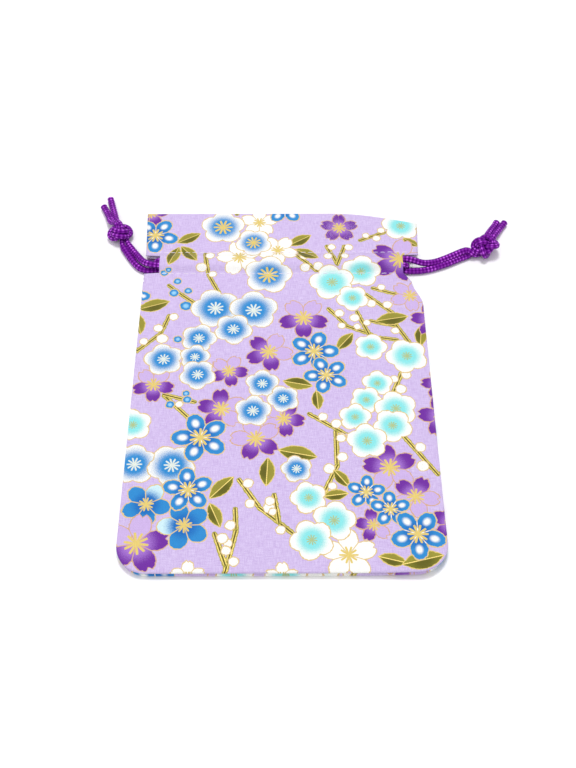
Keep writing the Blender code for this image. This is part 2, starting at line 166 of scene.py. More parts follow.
# Flowers: middle x and y, radius, and the way of the first petal in degrees
SPOTTED_FLOWERS = [
    (-47.0, 63.7, 8.5, 56), (11.0, 9.2, 8.5, 0), (14.9, -1.0, 7.5, 40), (-26.5, -26.0, 9.2, 36),
    (-29.5, -45.5, 7.8, 24), (26.3, -46.5, 6.0, 12), (33.5, -52.5, 6.2, 20), (41.2, -61.0, 8.3, 54),
    (1.0, 77.5, 7.5, 20), (-53.5, 34.0, 6.5, 0),
]
SOLID_FLOWERS = [(-30.0, -58.0, 8.0, 182)]
UNDER_FLOWERS = [(-42.0, -50.5, 7.5, 60)]
STAR_PLUMS = [(-22.0, 67.8, 8.0, 18), (-10.5, 59.9, 6.5, 50), (-5.0, 44.0, 8.5, 8)]
BLUE_PLUMS = [
    (-23.5, 28.5, 8.5, 36), (-10.0, 27.5, 8.5, 20), (-17.0, 19.0, 6.5, 60), (-28.8, 15.0, 6.0, 0),
    (-40.3, 5.8, 6.5, 30), (-29.8, 6.8, 5.0, 10), (-28.5, -0.7, 6.0, 54), (-6.6, -4.5, 5.5, 18),
    (0.4, -10.7, 5.2, 40), (-9.6, -15.6, 6.0, 12), (4.6, -38.0, 4.8, 30), (-46.8, -36.0, 7.2, 18),
    (-35.0, -36.5, 7.5, 50),
]
CYAN_PLUMS = [
    (28.5, 45.5, 7.0, 10), (18.0, 40.5, 8.0, 30), (25.0, 33.0, 5.6, 50), (30.5, 11.0, 5.5, 0),
    (42.5, 7.0, 7.0, 40), (32.0, -4.5, 5.0, 18), (28.0, -11.3, 5.2, 60), (37.5, -14.8, 6.8, 30),
    (24.0, -18.2, 5.2, 12), (36.0, -21.5, 6.2, 50), (27.5, -27.5, 6.5, 24), (8.3, -48.5, 5.6, 36),
    (16.0, -56.5, 6.6, 8), (9.0, -63.0, 6.6, 44), (44.5, 68.5, 7.0, 20), (-48.5, -21.0, 6.0, 30),
]
WHITE_CHERRIES = [
    (-8.5, 70.2, 7.0, 18), (-1.5, 56.0, 7.2, 54), (-15.5, 52.3, 8.2, 30), (20.0, -68.0, 8.5, 18),
    (-28.0, -75.0, 5.0, 18), (0.0, -75.5, 5.0, 18),
]
# Purple cherries also say how many petals, from the first one on, are filled
PURPLE_CHERRIES = [
    (21.3, 67.3, 7.0, 90, 5), (7.5, 24.0, 8.8, 198, 3), (-4.5, 9.0, 8.2, 135, 3),
    (-18.0, 0.8, 6.5, 210, 3), (-20.0, -14.8, 8.0, 95, 3), (0.5, -18.8, 7.0, 280, 3),
    (-8.5, -26.5, 8.2, 250, 2), (-43.0, -4.8, 7.0, 200, 3), (-44.0, -64.0, 10.0, 226, 3),
    (34.2, -37.5, 8.6, 27, 3), (41.5, -48.0, 7.4, 63, 2), (28.0, -58.0, 5.6, 100, 3),
    (42.5, 51.2, 10.4, 145, 3), (52.5, 23.0, 7.5, 100, 3), (52.5, -5.0, 6.0, 100, 3),
    (52.5, -18.0, 8.0, 100, 3), (52.0, -57.5, 6.5, 150, 3), (-49.5, 75.0, 6.5, 226, 3),
    (45.5, 34.0, 7.0, 60, 0),
]
# Leaves: base x and y, tip x and y
LEAVES = [
    (-38.5, 60, -30.5, 64.5), (-38, 57.5, -41, 49), (-37, 58, -31, 51), (2.5, 58.5, 10.5, 63.5),
    (5, 56.5, 13, 52), (-50.5, 28, -40, 31.5), (-51, 26, -49, 17), (19, 10, 24.5, 17),
    (10, -5.5, 0.5, -3.5), (11.5, -7.5, 12, -15), (-1, -31, 11, -33.5), (-4.5, -34, -5, -44),
    (33, 22.5, 44, 24.5), (48.5, 20, 47.5, 11.5), (-22.5, -48.5, -15.5, -41), (-22.5, -50.5, -19, -58.5),
    (16.5, -38.5, 21, -44.5), (13, -48, 20.5, -47), (29, -68.5, 37, -70.5), (36, -71, 48, -68),
    (45, 62, 50, 58),
]
# Branches: a line of places each, and then its buds as (share of the line, side in mm, radius)
BRANCHES = [
    ([(-28, 54), (-26.5, 44), (-22, 34.5)], [(0.05, 1.8, 1.6), (0.3, -2.2, 2.0), (0.5, 1.8, 1.4)]),
    ([(5.5, 53), (12.5, 46)], [(0.2, 1.6, 1.4), (0.6, -1.8, 1.8), (0.9, 2.0, 1.8)]),
    ([(16.5, 58), (20, 49)], [(0.1, 1.6, 1.4), (0.5, -1.6, 1.5)]),
    ([(23, 58), (20, 49)], [(0.0, 0.6, 1.5), (0.5, 1.8, 1.3)]),
    ([(29, 61), (38, 65)], [(0.3, 1.6, 1.2), (0.6, -1.7, 1.4), (0.95, 1.2, 1.3)]),
    ([(-40.5, 39), (-35, 34), (-30, 30)], []),
    ([(-39.5, 25), (-42, 17), (-51, 8)],
     [(0.0, 1.0, 1.5), (0.3, -1.9, 1.6), (0.45, 2.2, 2.0), (0.7, -1.8, 1.4)]),
    ([(16.5, 28), (23, 20), (31, 16.5)], [(0.2, 1.8, 1.6), (0.45, -1.8, 1.3), (0.7, 1.6, 1.2)]),
    ([(26.5, 26.5), (30, 17)], [(0.2, -1.9, 1.7), (0.55, 1.7, 1.2)]),
    ([(30, 34.5), (39.5, 25.5)], [(0.3, -2.0, 1.7), (0.65, 2.0, 1.6), (0.95, -2.0, 1.5)]),
    ([(32.5, 37.5), (41, 34.5)], [(0.3, 1.6, 1.3)]),
    ([(31, 22.5), (40, 20), (44, 12.5)], [(0.2, 1.6, 1.2), (0.6, -1.8, 1.4)]),
    ([(34, 15), (39.5, 14)], []),
    ([(41.5, 3), (37, -8.5)], [(0.3, 2.0, 1.6), (0.55, -1.8, 1.4), (0.8, 2.4, 1.8)]),
    ([(9, -17), (23, -26.5)], [(0.25, 1.8, 1.5), (0.55, 2.0, 1.7), (0.8, -1.8, 1.3)]),
    ([(17.5, -24), (17.5, -37), (13, -47)],
     [(0.1, 1.7, 1.5), (0.4, 1.8, 1.7), (0.62, -1.9, 1.8), (0.85, 1.8, 1.3)]),
    ([(39.5, -26), (49, -40)], [(0.35, 2.0, 1.7), (0.7, -2.0, 1.9)]),
    ([(-13.5, -42), (-7, -52), (3.5, -61)],
     [(0.1, 2.0, 1.6), (0.35, -1.9, 1.5), (0.55, 2.0, 1.8), (0.85, -1.9, 1.4)]),
    ([(-2.5, -47.5), (-1, -57)], [(0.2, -1.8, 1.5), (0.6, -1.9, 1.2)]),
    ([(-14.5, -52.5), (-14, -60), (-17, -74)], [(0.25, -1.8, 1.6), (0.55, -1.9, 1.3), (0.8, 1.9, 1.5)]),
    ([(-20.5, -61), (-17, -71)], [(0.2, 1.8, 1.7), (0.6, 1.9, 1.5)]),
    ([(-39, -9.5), (-31, -18)], [(0.5, 1.6, 1.2)]),
    ([(-39, -9), (-29, -12)], []),
]
BLUE_BUDS = [
    (-42.5, 45.0, 1.3), (-41.0, 46.5, 1.0), (-37.5, 41.0, 1.3), (-38.5, 35.5, 1.6), (-33.5, 36.5, 1.3),
    (-34.0, 29.5, 1.9), (-36.0, 14.5, 1.3), (-32.0, -8.5, 1.1), (-37.0, -13.0, 1.3), (-31.5, -11.0, 1.3),
]


def srgb(red, green, blue):
    """A colour from its 0 to 255 values."""
    def linear(value):
        share = value / 255
        return share / 12.92 if share <= 0.04045 else ((share + 0.055) / 1.055) ** 2.4
    return (linear(red), linear(green), linear(blue), 1.0)


# Colours of the print, the thread and the cord
GROUND_DEEP = srgb(202, 179, 228)
GROUND_PALE = srgb(213, 196, 235)
WHITE = srgb(250, 249, 245)
CREAM = srgb(226, 198, 140)
PALE_STAMEN = srgb(222, 232, 228)
GREEN_STAMEN = srgb(176, 194, 140)
PALE_GOLD = srgb(226, 202, 116)
OLD_GOLD = srgb(176, 166, 66)
BLUE = srgb(46, 139, 208)
DEEP_BLUE = srgb(26, 106, 188)
CYAN = srgb(138, 227, 229)
SKY = srgb(150, 208, 244)
PALE_PETAL = srgb(206, 236, 244)
PURPLE = srgb(112, 44, 160)
MAUVE = srgb(170, 120, 212)
LILAC = srgb(204, 178, 229)
OLIVE = srgb(122, 120, 36)
DARK_OLIVE = srgb(100, 96, 28)
ROSE_GOLD = srgb(214, 172, 140)
THREAD = srgb(226, 208, 244)
REVERSE = srgb(226, 208, 244)
CORD_BODY = srgb(112, 16, 146)
# The braid's painted highlight on its raised crossings and painted shade in its hollows
CORD_PAINTED_HIGHLIGHT = srgb(212, 104, 244)
CORD_PAINTED_SHADE = srgb(50, 0, 78)

# Each kind of flower: its petal's middle, half length and half width, as shares of the flower's radius
PETALS = {
    SPOTTED: (0.60, 0.40, 0.31, 1), SOLID_BLUE: (0.59, 0.41, 0.34, 1), BLUE_PLUM: (0.50, 0.50, 0.47, 1),
    CYAN_PLUM: (0.50, 0.50, 0.47, 1), WHITE_CHERRY: (0.59, 0.41, 0.33, 1),
    PURPLE_CHERRY: (0.60, 0.40, 0.32, 1),
}
# Each kind of flower: its tips' notch, its disc's radius and its stamens' reach, as such shares
MIDDLES = {
    SPOTTED: (0.0, 0.0, 0.38, 1), SOLID_BLUE: (0.04, 0.0, 0.32, 1), BLUE_PLUM: (0.0, 0.66, 0.34, 1),
    STAR_PLUM: (0.0, 0.64, 0.44, 1), CYAN_PLUM: (0.0, 0.60, 0.26, 1), WHITE_CHERRY: (0.10, 0.0, 0.34, 1),
    PURPLE_CHERRY: (0.12, 0.0, 0.38, 1),
}
FILLS = {
    SPOTTED: BLUE, SOLID_BLUE: BLUE, BLUE_PLUM: WHITE, CYAN_PLUM: WHITE, WHITE_CHERRY: WHITE,
    PURPLE_CHERRY: PURPLE, LEAF: OLIVE, BRANCH: DARK_OLIVE, WHITE_BUD: WHITE, BLUE_BUD: BLUE,
}
INNER_FILLS = {
    SPOTTED: DEEP_BLUE, SOLID_BLUE: DEEP_BLUE, BLUE_PLUM: BLUE, CYAN_PLUM: CYAN, WHITE_CHERRY: WHITE,
    PURPLE_CHERRY: MAUVE, LEAF: DARK_OLIVE, BRANCH: DARK_OLIVE, WHITE_BUD: WHITE, BLUE_BUD: SKY,
}
OUTLINES = {
    SPOTTED: CREAM, SOLID_BLUE: CREAM, BLUE_PLUM: CREAM, CYAN_PLUM: CREAM, WHITE_CHERRY: CREAM,
    PURPLE_CHERRY: ROSE_GOLD, LEAF: PALE_GOLD, BRANCH: OLD_GOLD, WHITE_BUD: CREAM, BLUE_BUD: CREAM,
}
SEAMS = {SPOTTED: WHITE, SOLID_BLUE: CREAM, WHITE_CHERRY: CREAM, PURPLE_CHERRY: ROSE_GOLD}
STAMENS = {
    SPOTTED: PALE_GOLD, SOLID_BLUE: PALE_GOLD, BLUE_PLUM: PALE_STAMEN, STAR_PLUM: PALE_GOLD,
    CYAN_PLUM: GREEN_STAMEN, WHITE_CHERRY: PALE_GOLD, PURPLE_CHERRY: PALE_GOLD,
}

# How a motif is drawn, in millimetres; a pair is where a change starts and where it ends
OUTLINE_WIDTH = 0.34
EDGE_SOFTNESS = 0.07
EDGE_WANDER = 0.8
SEAM_WIDTH = 0.20
LEAF_LIGHT_EDGE = (-0.5, 0.6)
VEIN_EDGE = (0.2, 0.1)
RIDGE_EDGE = (0.16, 0.32)

# How a motif is drawn, as shares of its radius
LEAF_WIDTH = 0.44
HEART_REACH = 0.24
SPECKLE_REACH = 0.55
DISC_EDGE = (1.45, 0.6)
BASE_EDGE = (0.75, 0.25)
PALE_EDGE = (0.35, 0.85)
SPOT_PLACE = 0.62
SPOT_LENGTH = 0.15
SPOT_WIDTH = 0.115
SPOT_EDGE = (1.6, 0.5)
STAR_EDGE = (0.012, -0.012)
STAR_GRAIN = 0.12
STAR_TAPER = 1.22
STAR_FULLNESS = 1.5

# Other numbers of the print
PETAL_COUNT = 5
KIND_SPAN = 12.0
KIND_MARGIN = 0.04
SMALLEST = 0.01
NO_NOTCH = 99
LEAF_LIGHT = 0.6
OUTLINE_GOLD = 0.35
STAMEN_GOLD = 0.5

# The cotton's threads: their pitch and their slubs' frequency along and across them
THREAD_PITCH = 0.42
SLUB_ALONG = 0.35
SLUB_ACROSS = 4.4
REVERSE_SLUBS = (0.25, 2.6, 1.0)
REVERSE_NOISE = 2.4
WEAVE_STRENGTH = 0.35
WEAVE_DEPTH = 0.00012
WEAVE_SHARE = 0.35

# The print's unevenness: the scales of its noise, and how far threads shade its colours
EDGE_NOISE = 0.9
SPECKLE_NOISE = 3.4
GRAIN_NOISE = 5.0
GROUND_EDGE = (0.75, 1.25)
REVERSE_EDGE = (0.7, 1.3)
SLUB_SHADE = (0.7, 1.3, 0.93, 1.03)
GRAIN_SHADE = (0.3, 0.7, 0.92, 1.05)
SMALLEST_RADIUS = 0.1

# How the cotton and its gold ink shine
COTTON_ROUGHNESS = 0.88
GOLD_METAL = 0.45
GOLD_GLOSS = 0.4

# How the cord's colour changes over its braid: painted highlight on the raised crossings, stronger in
# patches, and painted shade in the hollows
PATCH_NOISE = 260.0
PATCH_EDGE = (0.42, 0.58)
FIBRE_NOISE = 2600.0
PAINTED_HIGHLIGHT_EDGE = (0.35, 1.05)
PAINTED_HIGHLIGHT_GRAIN = 0.6
PAINTED_SHADE_EDGE = (-0.2, -0.8)
PAINTED_SHADE_SHARE = 0.75
PAINTED_HIGHLIGHT_SHARE = (0.2, 1.0)
CORD_BUMP = (0.4, 0.00006)

# Stitches of the casing's two rows
STITCH = 2.3
STITCH_GAP = 0.35
STITCH_RADIUS = 0.13
STITCH_BOW = 1.5
STITCH_BOW_PRESSED = 0.25
STITCH_WANDER = 0.08
STITCH_END = 0.55
STITCH_SIDES = 6
STITCH_RINGS = 6
UPPER_ROW_INSET = 0.8
LOWER_ROW_INSET = 0.6

# The drawstrings as the frame has them, the front strand first. Ends run from the mouth at the
# lower cord, and tails from the knot's middle: x and y from there, and the height over the
# table, in metres
LEFT_CORD = SimpleNamespace(
    name="left", node="left_drawstring", mouth=LEFT_MOUTH, far=RIGHT_MOUTH,
    knot=(-0.0158, 0.0175), heading=math.radians(112), ceiling=6.2,
    front_along=LOW_CORD, back_left=LOW_CORD, back_right=HIGH_CORD,
    loop_along=LOW_CORD + LOOP_RISE, over=True,
    ends=(
        [(-0.0034, -0.0001, 0.0044), (-0.0059, 0.0020, 0.0033), (-0.0090, 0.0069, 0.0019),
         (-0.0116, 0.0109, 0.0014), (-0.0132, 0.0136, 0.0015)],
        [(-0.0031, -0.0003, 0.00135), (-0.0058, -0.0003, 0.00125), (-0.0088, 0.0023, 0.00125),
         (-0.0117, 0.0065, 0.00125), (-0.0138, 0.0101, 0.00122), (-0.0152, 0.0125, 0.00122)],
    ),
    tails=(
        [(-0.0021, 0.0055, 0.0030), (-0.0031, 0.0094, 0.0022), (-0.0044, 0.0142, 0.0015),
         (-0.0058, 0.0192, 0.0013)],
        [(-0.0040, 0.0050, 0.0029), (-0.0053, 0.0090, 0.0020), (-0.0066, 0.0122, 0.0014),
         (-0.0080, 0.0151, 0.00125)],
    ),
)
RIGHT_CORD = SimpleNamespace(
    name="right", node="right_drawstring", mouth=RIGHT_MOUTH, far=LEFT_MOUTH,
    knot=(0.0307, 0.0092), heading=math.radians(30), ceiling=7.2,
    front_along=HIGH_CORD, back_left=HIGH_CORD, back_right=LOW_CORD, loop_along=HIGH_CORD, over=False,
    ends=(
        [(0.0014, 0.0024, 0.0049), (0.0042, 0.0018, 0.0042), (0.0076, 0.0015, 0.0031),
         (0.0118, 0.0025, 0.0024), (0.0164, 0.0044, 0.0025), (0.0221, 0.0070, 0.0031),
         (0.0253, 0.0079, 0.0034)],
        [(0.0014, -0.0009, 0.0013), (0.0057, -0.0007, 0.00125), (0.0102, 0.0002, 0.00125),
         (0.0163, 0.0026, 0.00125), (0.0221, 0.0056, 0.00122), (0.0258, 0.0072, 0.00122)],
    ),
    tails=(
        [(0.0013, 0.0051, 0.0032), (0.0034, 0.0090, 0.0023), (0.0052, 0.0119, 0.0016),
         (0.0066, 0.0145, 0.0014)],
        [(0.0034, 0.0046, 0.0028), (0.0056, 0.0083, 0.0020), (0.0077, 0.0117, 0.00135),
         (0.0096, 0.0144, 0.00125)],
    ),
)

# The cord's half widths where it lies free, and where a tight knot squeezes it
FREE_HALF_WIDTH = 1.25
FREE_HALF_HEIGHT = 1.1
KNOT_CORD_RADIUS = 0.93
KNOT_GRIP = 7.5
KNOT_GRIP_FADE = 3.0

# A knot is tied loosely, and then pulled tight
LOOSE_KNOT_SIZE = 4.0
LOOSE_KNOT_HEIGHT = 1.6
LOOSE_KNOT_LIFT = 4.0
LOOSE_KNOT_OPEN = 0.45
KNOT_POINTS = 80
KNOT_FIXED = 5
KNOT_PULLS = 900
KNOT_PULL = 0.4
KNOT_SLIDE = 0.02
KNOT_PUSH = 1.3
KNOT_NEIGHBOUR = 1.3
KNOT_CORE = 0.25
KNOT_SETTLE = 0.3
STRANDS_APART = 1.02

# The cord's mesh and its braid
CORD_SIDES = 24
CORD_CAP = [(0.32, 0.45), (0.22, 0.85)]
CORD_THREAD_PITCH = 0.28
BRAID_STRANDS = 3
BRAID_PITCH = 1.3
BRAID_DEPTH = 0.05

# Steps along the cord, and how its run in the casing joins its free strand
ROUTE_STEP = 0.15
ROUGH_STEP = 0.45
CASING_STEP = 0.4
CASING_PITCH = 2.5
INSIDE_MOUTH = 10.0
MOUTH_EASE = 5.0
MOUTH_PASSES = 30
STRAND_PASSES = 8

# Lights: place in metres, size in metres, power in watts
KEY_LIGHT = ((0.0, 0.18, 0.82), 0.18, 3.4)
FILL_LIGHT = ((-0.25, -0.30, 0.70), 0.6, 1.05)
ROOM_LIGHT = 0.575


def smooth(value):
    """0 below 0, 1 above 1 and an even rise between."""
    held = np.clip(value, 0.0, 1.0)
    return held * held * (3 - 2 * held)


def spread(start, end, step):
    """Even places from start up to, but without, end."""
    count = max(1, round(abs(end - start) / step))
    return [start + (end - start) * i / count for i in range(count)]


def side_edge(along, right, lining):
    """Half width of a panel along the pouch, for its right or its left side."""
    inset = LINING_INSET if lining else 0.0
    mouth = (RIGHT_MOUTH if right else -LEFT_MOUTH) - inset
    header = HALF_WIDTH + HEADER_FLARE * (along - UPPER_ROW) / HEADER_LENGTH - inset
    body = HALF_WIDTH - inset
    if right:
        stop = HALF_WIDTH - SIDE_SLACK
        slope = stop + (mouth - stop) * (along - SEAM_STOP) / (LOWER_ROW - SEAM_STOP)
        seam = HALF_WIDTH - SIDE_SLACK * smooth((along - SEAM_STOP) / SIDE_SLACK_REACH + 1)
        body = slope if along >= SEAM_STOP else seam
    if along >= UPPER_ROW - WING_DROP:
        return header
    return mouth if along >= LOWER_ROW else body


def row_places(along, columns, curl, lining):
    """The places across one row, moved near the sides so that they end on the panel's edge."""
    read = LOWER_ROW - MOUTH_CORNER / 2 if abs(along - LOWER_ROW) < MOUTH_CORNER / 2 else along
    side_curl = curl if along <= SEAM_STOP and not lining else 0.0
    inner = HALF_WIDTH - EDGE_ZONE
    share = np.clip((np.abs(columns) - inner) / EDGE_ZONE, 0.0, 1.0)
    reach = np.where(columns > 0, side_edge(read, True, lining), side_edge(read, False, lining)) - side_curl
    return np.where(share > 0, np.sign(columns) * (inner + share * (reach - inner)), columns)


def round_corner(across, along, curl):
    """Presses the square lower corners of a sheet into round ones, and gives each place's way out."""
    edge, foot = HALF_WIDTH - curl, BOTTOM + CLOTH / 2 + curl
    side = (np.abs(across) - (edge - CORNER_RADIUS)) / CORNER_RADIUS
    down = np.full_like(across, (foot + CORNER_RADIUS - along) / CORNER_RADIUS)
    inside = (side > 0) & (down > 0)
    new_side = side * np.sqrt(np.clip(1 - down * down / 2, 0, 1))
    new_down = down * np.sqrt(np.clip(1 - side * side / 2, 0, 1))
    length = np.maximum(np.hypot(new_side, new_down), 1e-9)
    sign = np.sign(across)
    x = np.where(inside, sign * (edge - CORNER_RADIUS + new_side * CORNER_RADIUS), across)
    y = np.where(inside, foot + CORNER_RADIUS - new_down * CORNER_RADIUS, along)
    out_x = np.where(inside, sign * new_side / length, np.where(down <= 0, sign, 0.0))
    out_y = np.where(inside, -new_down / length, np.where(down <= 0, 0.0, -1.0))
    return x, y, out_x, out_y


def header_drop(x, y):
    """How far the slack right corner of the header falls back from the straight top edge."""
    past = np.maximum(0.0, x - (HALF_WIDTH - HEADER_CORNER_SPAN)) / HEADER_CORNER_SPAN
    return HEADER_CORNER_DROP * past * past * np.maximum(0.0, y - UPPER_ROW) / HEADER_LENGTH


def crown(y):
    """1 over the cords in the casing, falling to 0 at its two stitch rows."""
    rise = (y - LOWER_ROW) / (LOW_CORD - LOWER_ROW - CROWN_FLAT)
    fall = (UPPER_ROW - y) / (UPPER_ROW - HIGH_CORD - CROWN_FLAT)
    return smooth(np.minimum(rise, fall))


def crossing(x):
    """1 where the two cords cross in the back casing, and 0 away from there."""
    return 1 - smooth((np.abs(x - CROSSING) - CROSSING_REACH / 3) / CROSSING_REACH)


def corner_lift(x, y):
    """The lower right corner stands a little off the table."""
    return CORNER_LIFT * smooth(1 - np.hypot(x - HALF_WIDTH, y - BOTTOM) / CORNER_LIFT_REACH)


def puckers(x, y):
    """Short gathers that run out of the two stitch rows."""
    wave = np.sin(x * 1.31 + 0.6 * np.sin(x * 0.37))
    wave = wave + 0.7 * np.sin(x * 2.17 + 1.9) + 0.5 * np.sin(x * 0.71 + 0.8)
    below = np.exp(-((y - LOWER_ROW + PUCKER_REACH) / PUCKER_REACH) ** 2)
    above = np.exp(-((y - UPPER_ROW - PUCKER_ABOVE) / PUCKER_REACH) ** 2)
    return wave * (PUCKER_SIZE_BELOW * below + PUCKER_SIZE_ABOVE * above)


def soft_waves(x, y):
    """The shallow unevenness of cloth that has been folded and laid flat again."""
    wave = np.sin(x * 0.19 + y * 0.07 + 0.9) + 0.8 * np.sin(y * 0.16 - x * 0.05 + 2.2)
    return 0.10 * (wave + 0.6 * np.sin(x * 0.33 - y * 0.21))


def front_height(x, y, lining):
    """Height of the front panel's outer cloth, or of its turned-in lining."""
    rise = smooth((y - UPPER_ROW) / HEADER_LENGTH)
    slack = HEADER_LIFT * smooth((HALF_WIDTH - x) / HEADER_CORNER_SPAN)
    inner = FRONT_INNER_ROW + (FRONT_INNER_HEADER - FRONT_INNER_ROW + slack) * rise
    header = inner if lining else inner + CLOTH + STITCHED_GAP + (PITCH - CLOTH - STITCHED_GAP) * rise
    low = FRONT_INNER_ROW if lining else FRONT_ROW
    high = (FRONT_INNER_CROWN if lining else FRONT_CROWN) + CROSSING_LIFT * crossing(x)
    casing = low + (high - low) * crown(y)
    if lining:
        body = np.full_like(x, FRONT_INNER_ROW)
    else:
        from_seam = np.minimum(HALF_WIDTH - np.abs(x), y - BOTTOM)
        inward = smooth((from_seam - SAG_START) / (SAG_END - SAG_START))
        sag = BODY_SAG * inward * smooth((HEM - y) / SAG_END)
        loose = smooth(from_seam / SAG_START)
        body = FRONT_OUTER - sag + (FRONT_ROW - FRONT_OUTER) * smooth((y - SEAM_STOP + SAG_END) / SAG_END)
        body = body + soft_waves(x, y) * loose * smooth((HEM - y) / SAG_START)
    height = np.where(y >= UPPER_ROW, header, np.where(y >= LOWER_ROW, casing, body))
    return height + puckers(x, y) * smooth((HALF_WIDTH - np.abs(x)) / PUCKER_FADE)


def back_height(x, y, lining):
    """Height of the back panel's outer cloth, flat on the table, or of its turned-in lining."""
    if not lining:
        return np.full_like(x, BACK_OUTER)
    header = BACK_ROW + (BACK_HEADER - BACK_ROW) * smooth((y - UPPER_ROW) / HEADER_LENGTH)
    casing = BACK_ROW + (BACK_CROWN + CROSSING_LIFT * crossing(x) - BACK_ROW) * crown(y)
    return np.where(y >= UPPER_ROW, header, np.where(y >= LOWER_ROW, casing, BACK_ROW))


def panel_rows(curl):
    """(place along, whether in the lining) for each row, up the outside and down the turned-in top."""
    foot = BOTTOM + CLOTH / 2 + curl
    last = TOP - CLOTH / 2 - PITCH / 2
    outer = spread(foot, SEAM_STOP, ROW_STEP) + spread(SEAM_STOP, LOWER_ROW, ROW_STEP)
    outer += [LOWER_ROW] + spread(LOWER_ROW + MOUTH_CORNER, UPPER_ROW - MOUTH_CORNER, ROW_STEP / 1.5)
    outer += [UPPER_ROW - MOUTH_CORNER] + spread(UPPER_ROW, last, ROW_STEP) + [last]
    inner = [place for place in outer if place > LOWER_ROW + MOUTH_CORNER / 2] + [LOWER_ROW, HEM]
    inner.sort(reverse=True)
    fold = [(last, None)] * (FOLD_STEPS - 1)
    return [(place, False) for place in outer] + fold + [(place, True) for place in inner]


def panel_grid(height, curl, rows, columns):
    """Every place of the sheet, row by row, and its way out, while its edges are still open."""
    places, outs = [], []
    for along, lining in rows:
        x = row_places(along, columns, curl, bool(lining))
        x, y, out_x, out_y = round_corner(x, along, curl)
        y = y - header_drop(x, y)
        z = height(x, y, bool(lining)) + corner_lift(x, y)
        places.append(np.stack([x, y, z], axis=1))
        outs.append(np.stack([out_x, out_y], axis=1))
    return np.array(places), np.array(outs)


def fold_top(places, last, sign):
    """Rounds the fold between the header and the lining turned in behind it."""
    outer, inner = places[last], places[last + FOLD_STEPS]
    radius = np.abs(outer[:, 2] - inner[:, 2]) / 2
    for step in range(1, FOLD_STEPS):
        turn = math.pi * step / FOLD_STEPS
        middle = (outer + inner) / 2
        middle[:, 0] = outer[:, 0] + (inner[:, 0] - outer[:, 0]) * step / FOLD_STEPS
        middle[:, 1] += radius * math.sin(turn)
        middle[:, 2] += sign * radius * math.cos(turn)
        places[last + step] = middle


def allowance_rings(start, way, curl, strip):
    """The rings of places that roll an edge under and run its allowance back along the inside."""
    level = start[:, 2] - corner_lift(start[:, 0], start[:, 1])
    steps = []
    for step in range(1, CURL_STEPS + 1):
        turn = math.pi * step / CURL_STEPS
        steps.append((curl * math.sin(turn), (1 - math.cos(turn)) / 2))
    steps += [(-SEAM_ALLOWANCE * step / STRIP_STEPS, 1.0) for step in range(1, STRIP_STEPS + 1)]
    rings = []
    for out, share in steps:
        x, y = start[:, 0] + way[:, 0] * out, start[:, 1] + way[:, 1] * out
        rings.append(np.stack([x, y, level + (strip - level) * share + corner_lift(x, y)], axis=1))
    return rings


def sheet_mesh(name, places, chain, rings, upward):
    """A mesh of the sheet and of its turned-in allowance, with its printed side facing the given way."""
    rows, width = places.shape[:2]
    verts = [tuple(p * MM) for p in places.reshape(-1, 3)]
    faces = [(r * width + c, r * width + c + 1, (r + 1) * width + c + 1, (r + 1) * width + c)
             for r in range(rows - 1) for c in range(width - 1)]
    edge = chain
    for ring in rings:
        first = len(verts)
        verts += [tuple(p * MM) for p in ring]
        fresh = list(range(first, first + len(ring)))
        faces += [(edge[i + 1], edge[i], fresh[i], fresh[i + 1]) for i in range(len(edge) - 1)]
        edge = fresh
    if not upward:
        faces = [face[::-1] for face in faces]
    mesh = bpy.data.meshes.new(name)
    mesh.from_pydata(verts, [], faces)
    mesh.update()
    return mesh


def make_panel(name, height, curl, strip, sign):
    """One panel with its folded top, its allowance and its cloth thickness."""
    inner = HALF_WIDTH - EDGE_ZONE
    half = spread(0, inner, COLUMN_STEP)[1:] + spread(inner, HALF_WIDTH, COLUMN_STEP) + [HALF_WIDTH]
    columns = np.array([-x for x in reversed(half)] + [0.0] + half)
    rows = panel_rows(curl)
    places, outs = panel_grid(height, curl, rows, columns)
    last = next(i for i, row in enumerate(rows) if row[1] is None) - 1
    fold_top(places, last, sign)
    width = len(columns)
    seam = sum(1 for along, lining in rows if lining is False and along <= SEAM_STOP)
    chain = [row * width for row in range(seam - 1, -1, -1)] + list(range(1, width - 1))
    chain += [row * width + width - 1 for row in range(seam)]
    start, way = places.reshape(-1, 3)[chain], outs.reshape(-1, 2)[chain]
    mesh = sheet_mesh(name, places, chain, allowance_rings(start, way, curl, strip), sign > 0)
    store_print_places(mesh, places, rows, rings=len(mesh.vertices) - places.shape[0] * width, sign=sign)
    panel = add_object(name, mesh)
    cloth = panel.modifiers.new("cloth", "SOLIDIFY")
    cloth.thickness = CLOTH * MM
    cloth.offset = 0
    cloth.use_even_offset = True
    cloth.material_offset = 1
    cloth.material_offset_rim = 0
    return panel


def store_print_places(mesh, places, rows, rings, sign):
    """Keeps, for each vertex, where it lies on the uncut printed cloth."""
    flat = places[:, :, :2].copy()
    if sign > 0:
        flat[:, :, 1] += (places[:, :, 2] - PRINT_HEIGHT) * PRINT_SLANT
    else:
        flat[:, :, 0] = -flat[:, :, 0]
        flat += np.array(BACK_SHIFT)
    fold = next(i for i, row in enumerate(rows) if row[1] is None)
    crest = flat[fold - 1, :, 1].copy()
    for i in range(fold, len(rows)):
        flat[i, :, 1] = crest + np.hypot(*(places[i, :, 1:] - places[fold - 1, :, 1:]).T)
    along = flat.reshape(-1, 2)
    rim = np.array([tuple(v.co) for v in mesh.vertices])[len(along):, :2] / MM
    if sign < 0 and rings:
        rim = rim * (-1, 1) + np.array(BACK_SHIFT)
    every = np.vstack([along, rim]) if rings else along
    kept = mesh.attributes.new("flat", "FLOAT_VECTOR", "POINT")
    values = np.zeros((len(every), 3))
    values[:, :2] = every
    kept.data.foreach_set("vector", values.ravel())


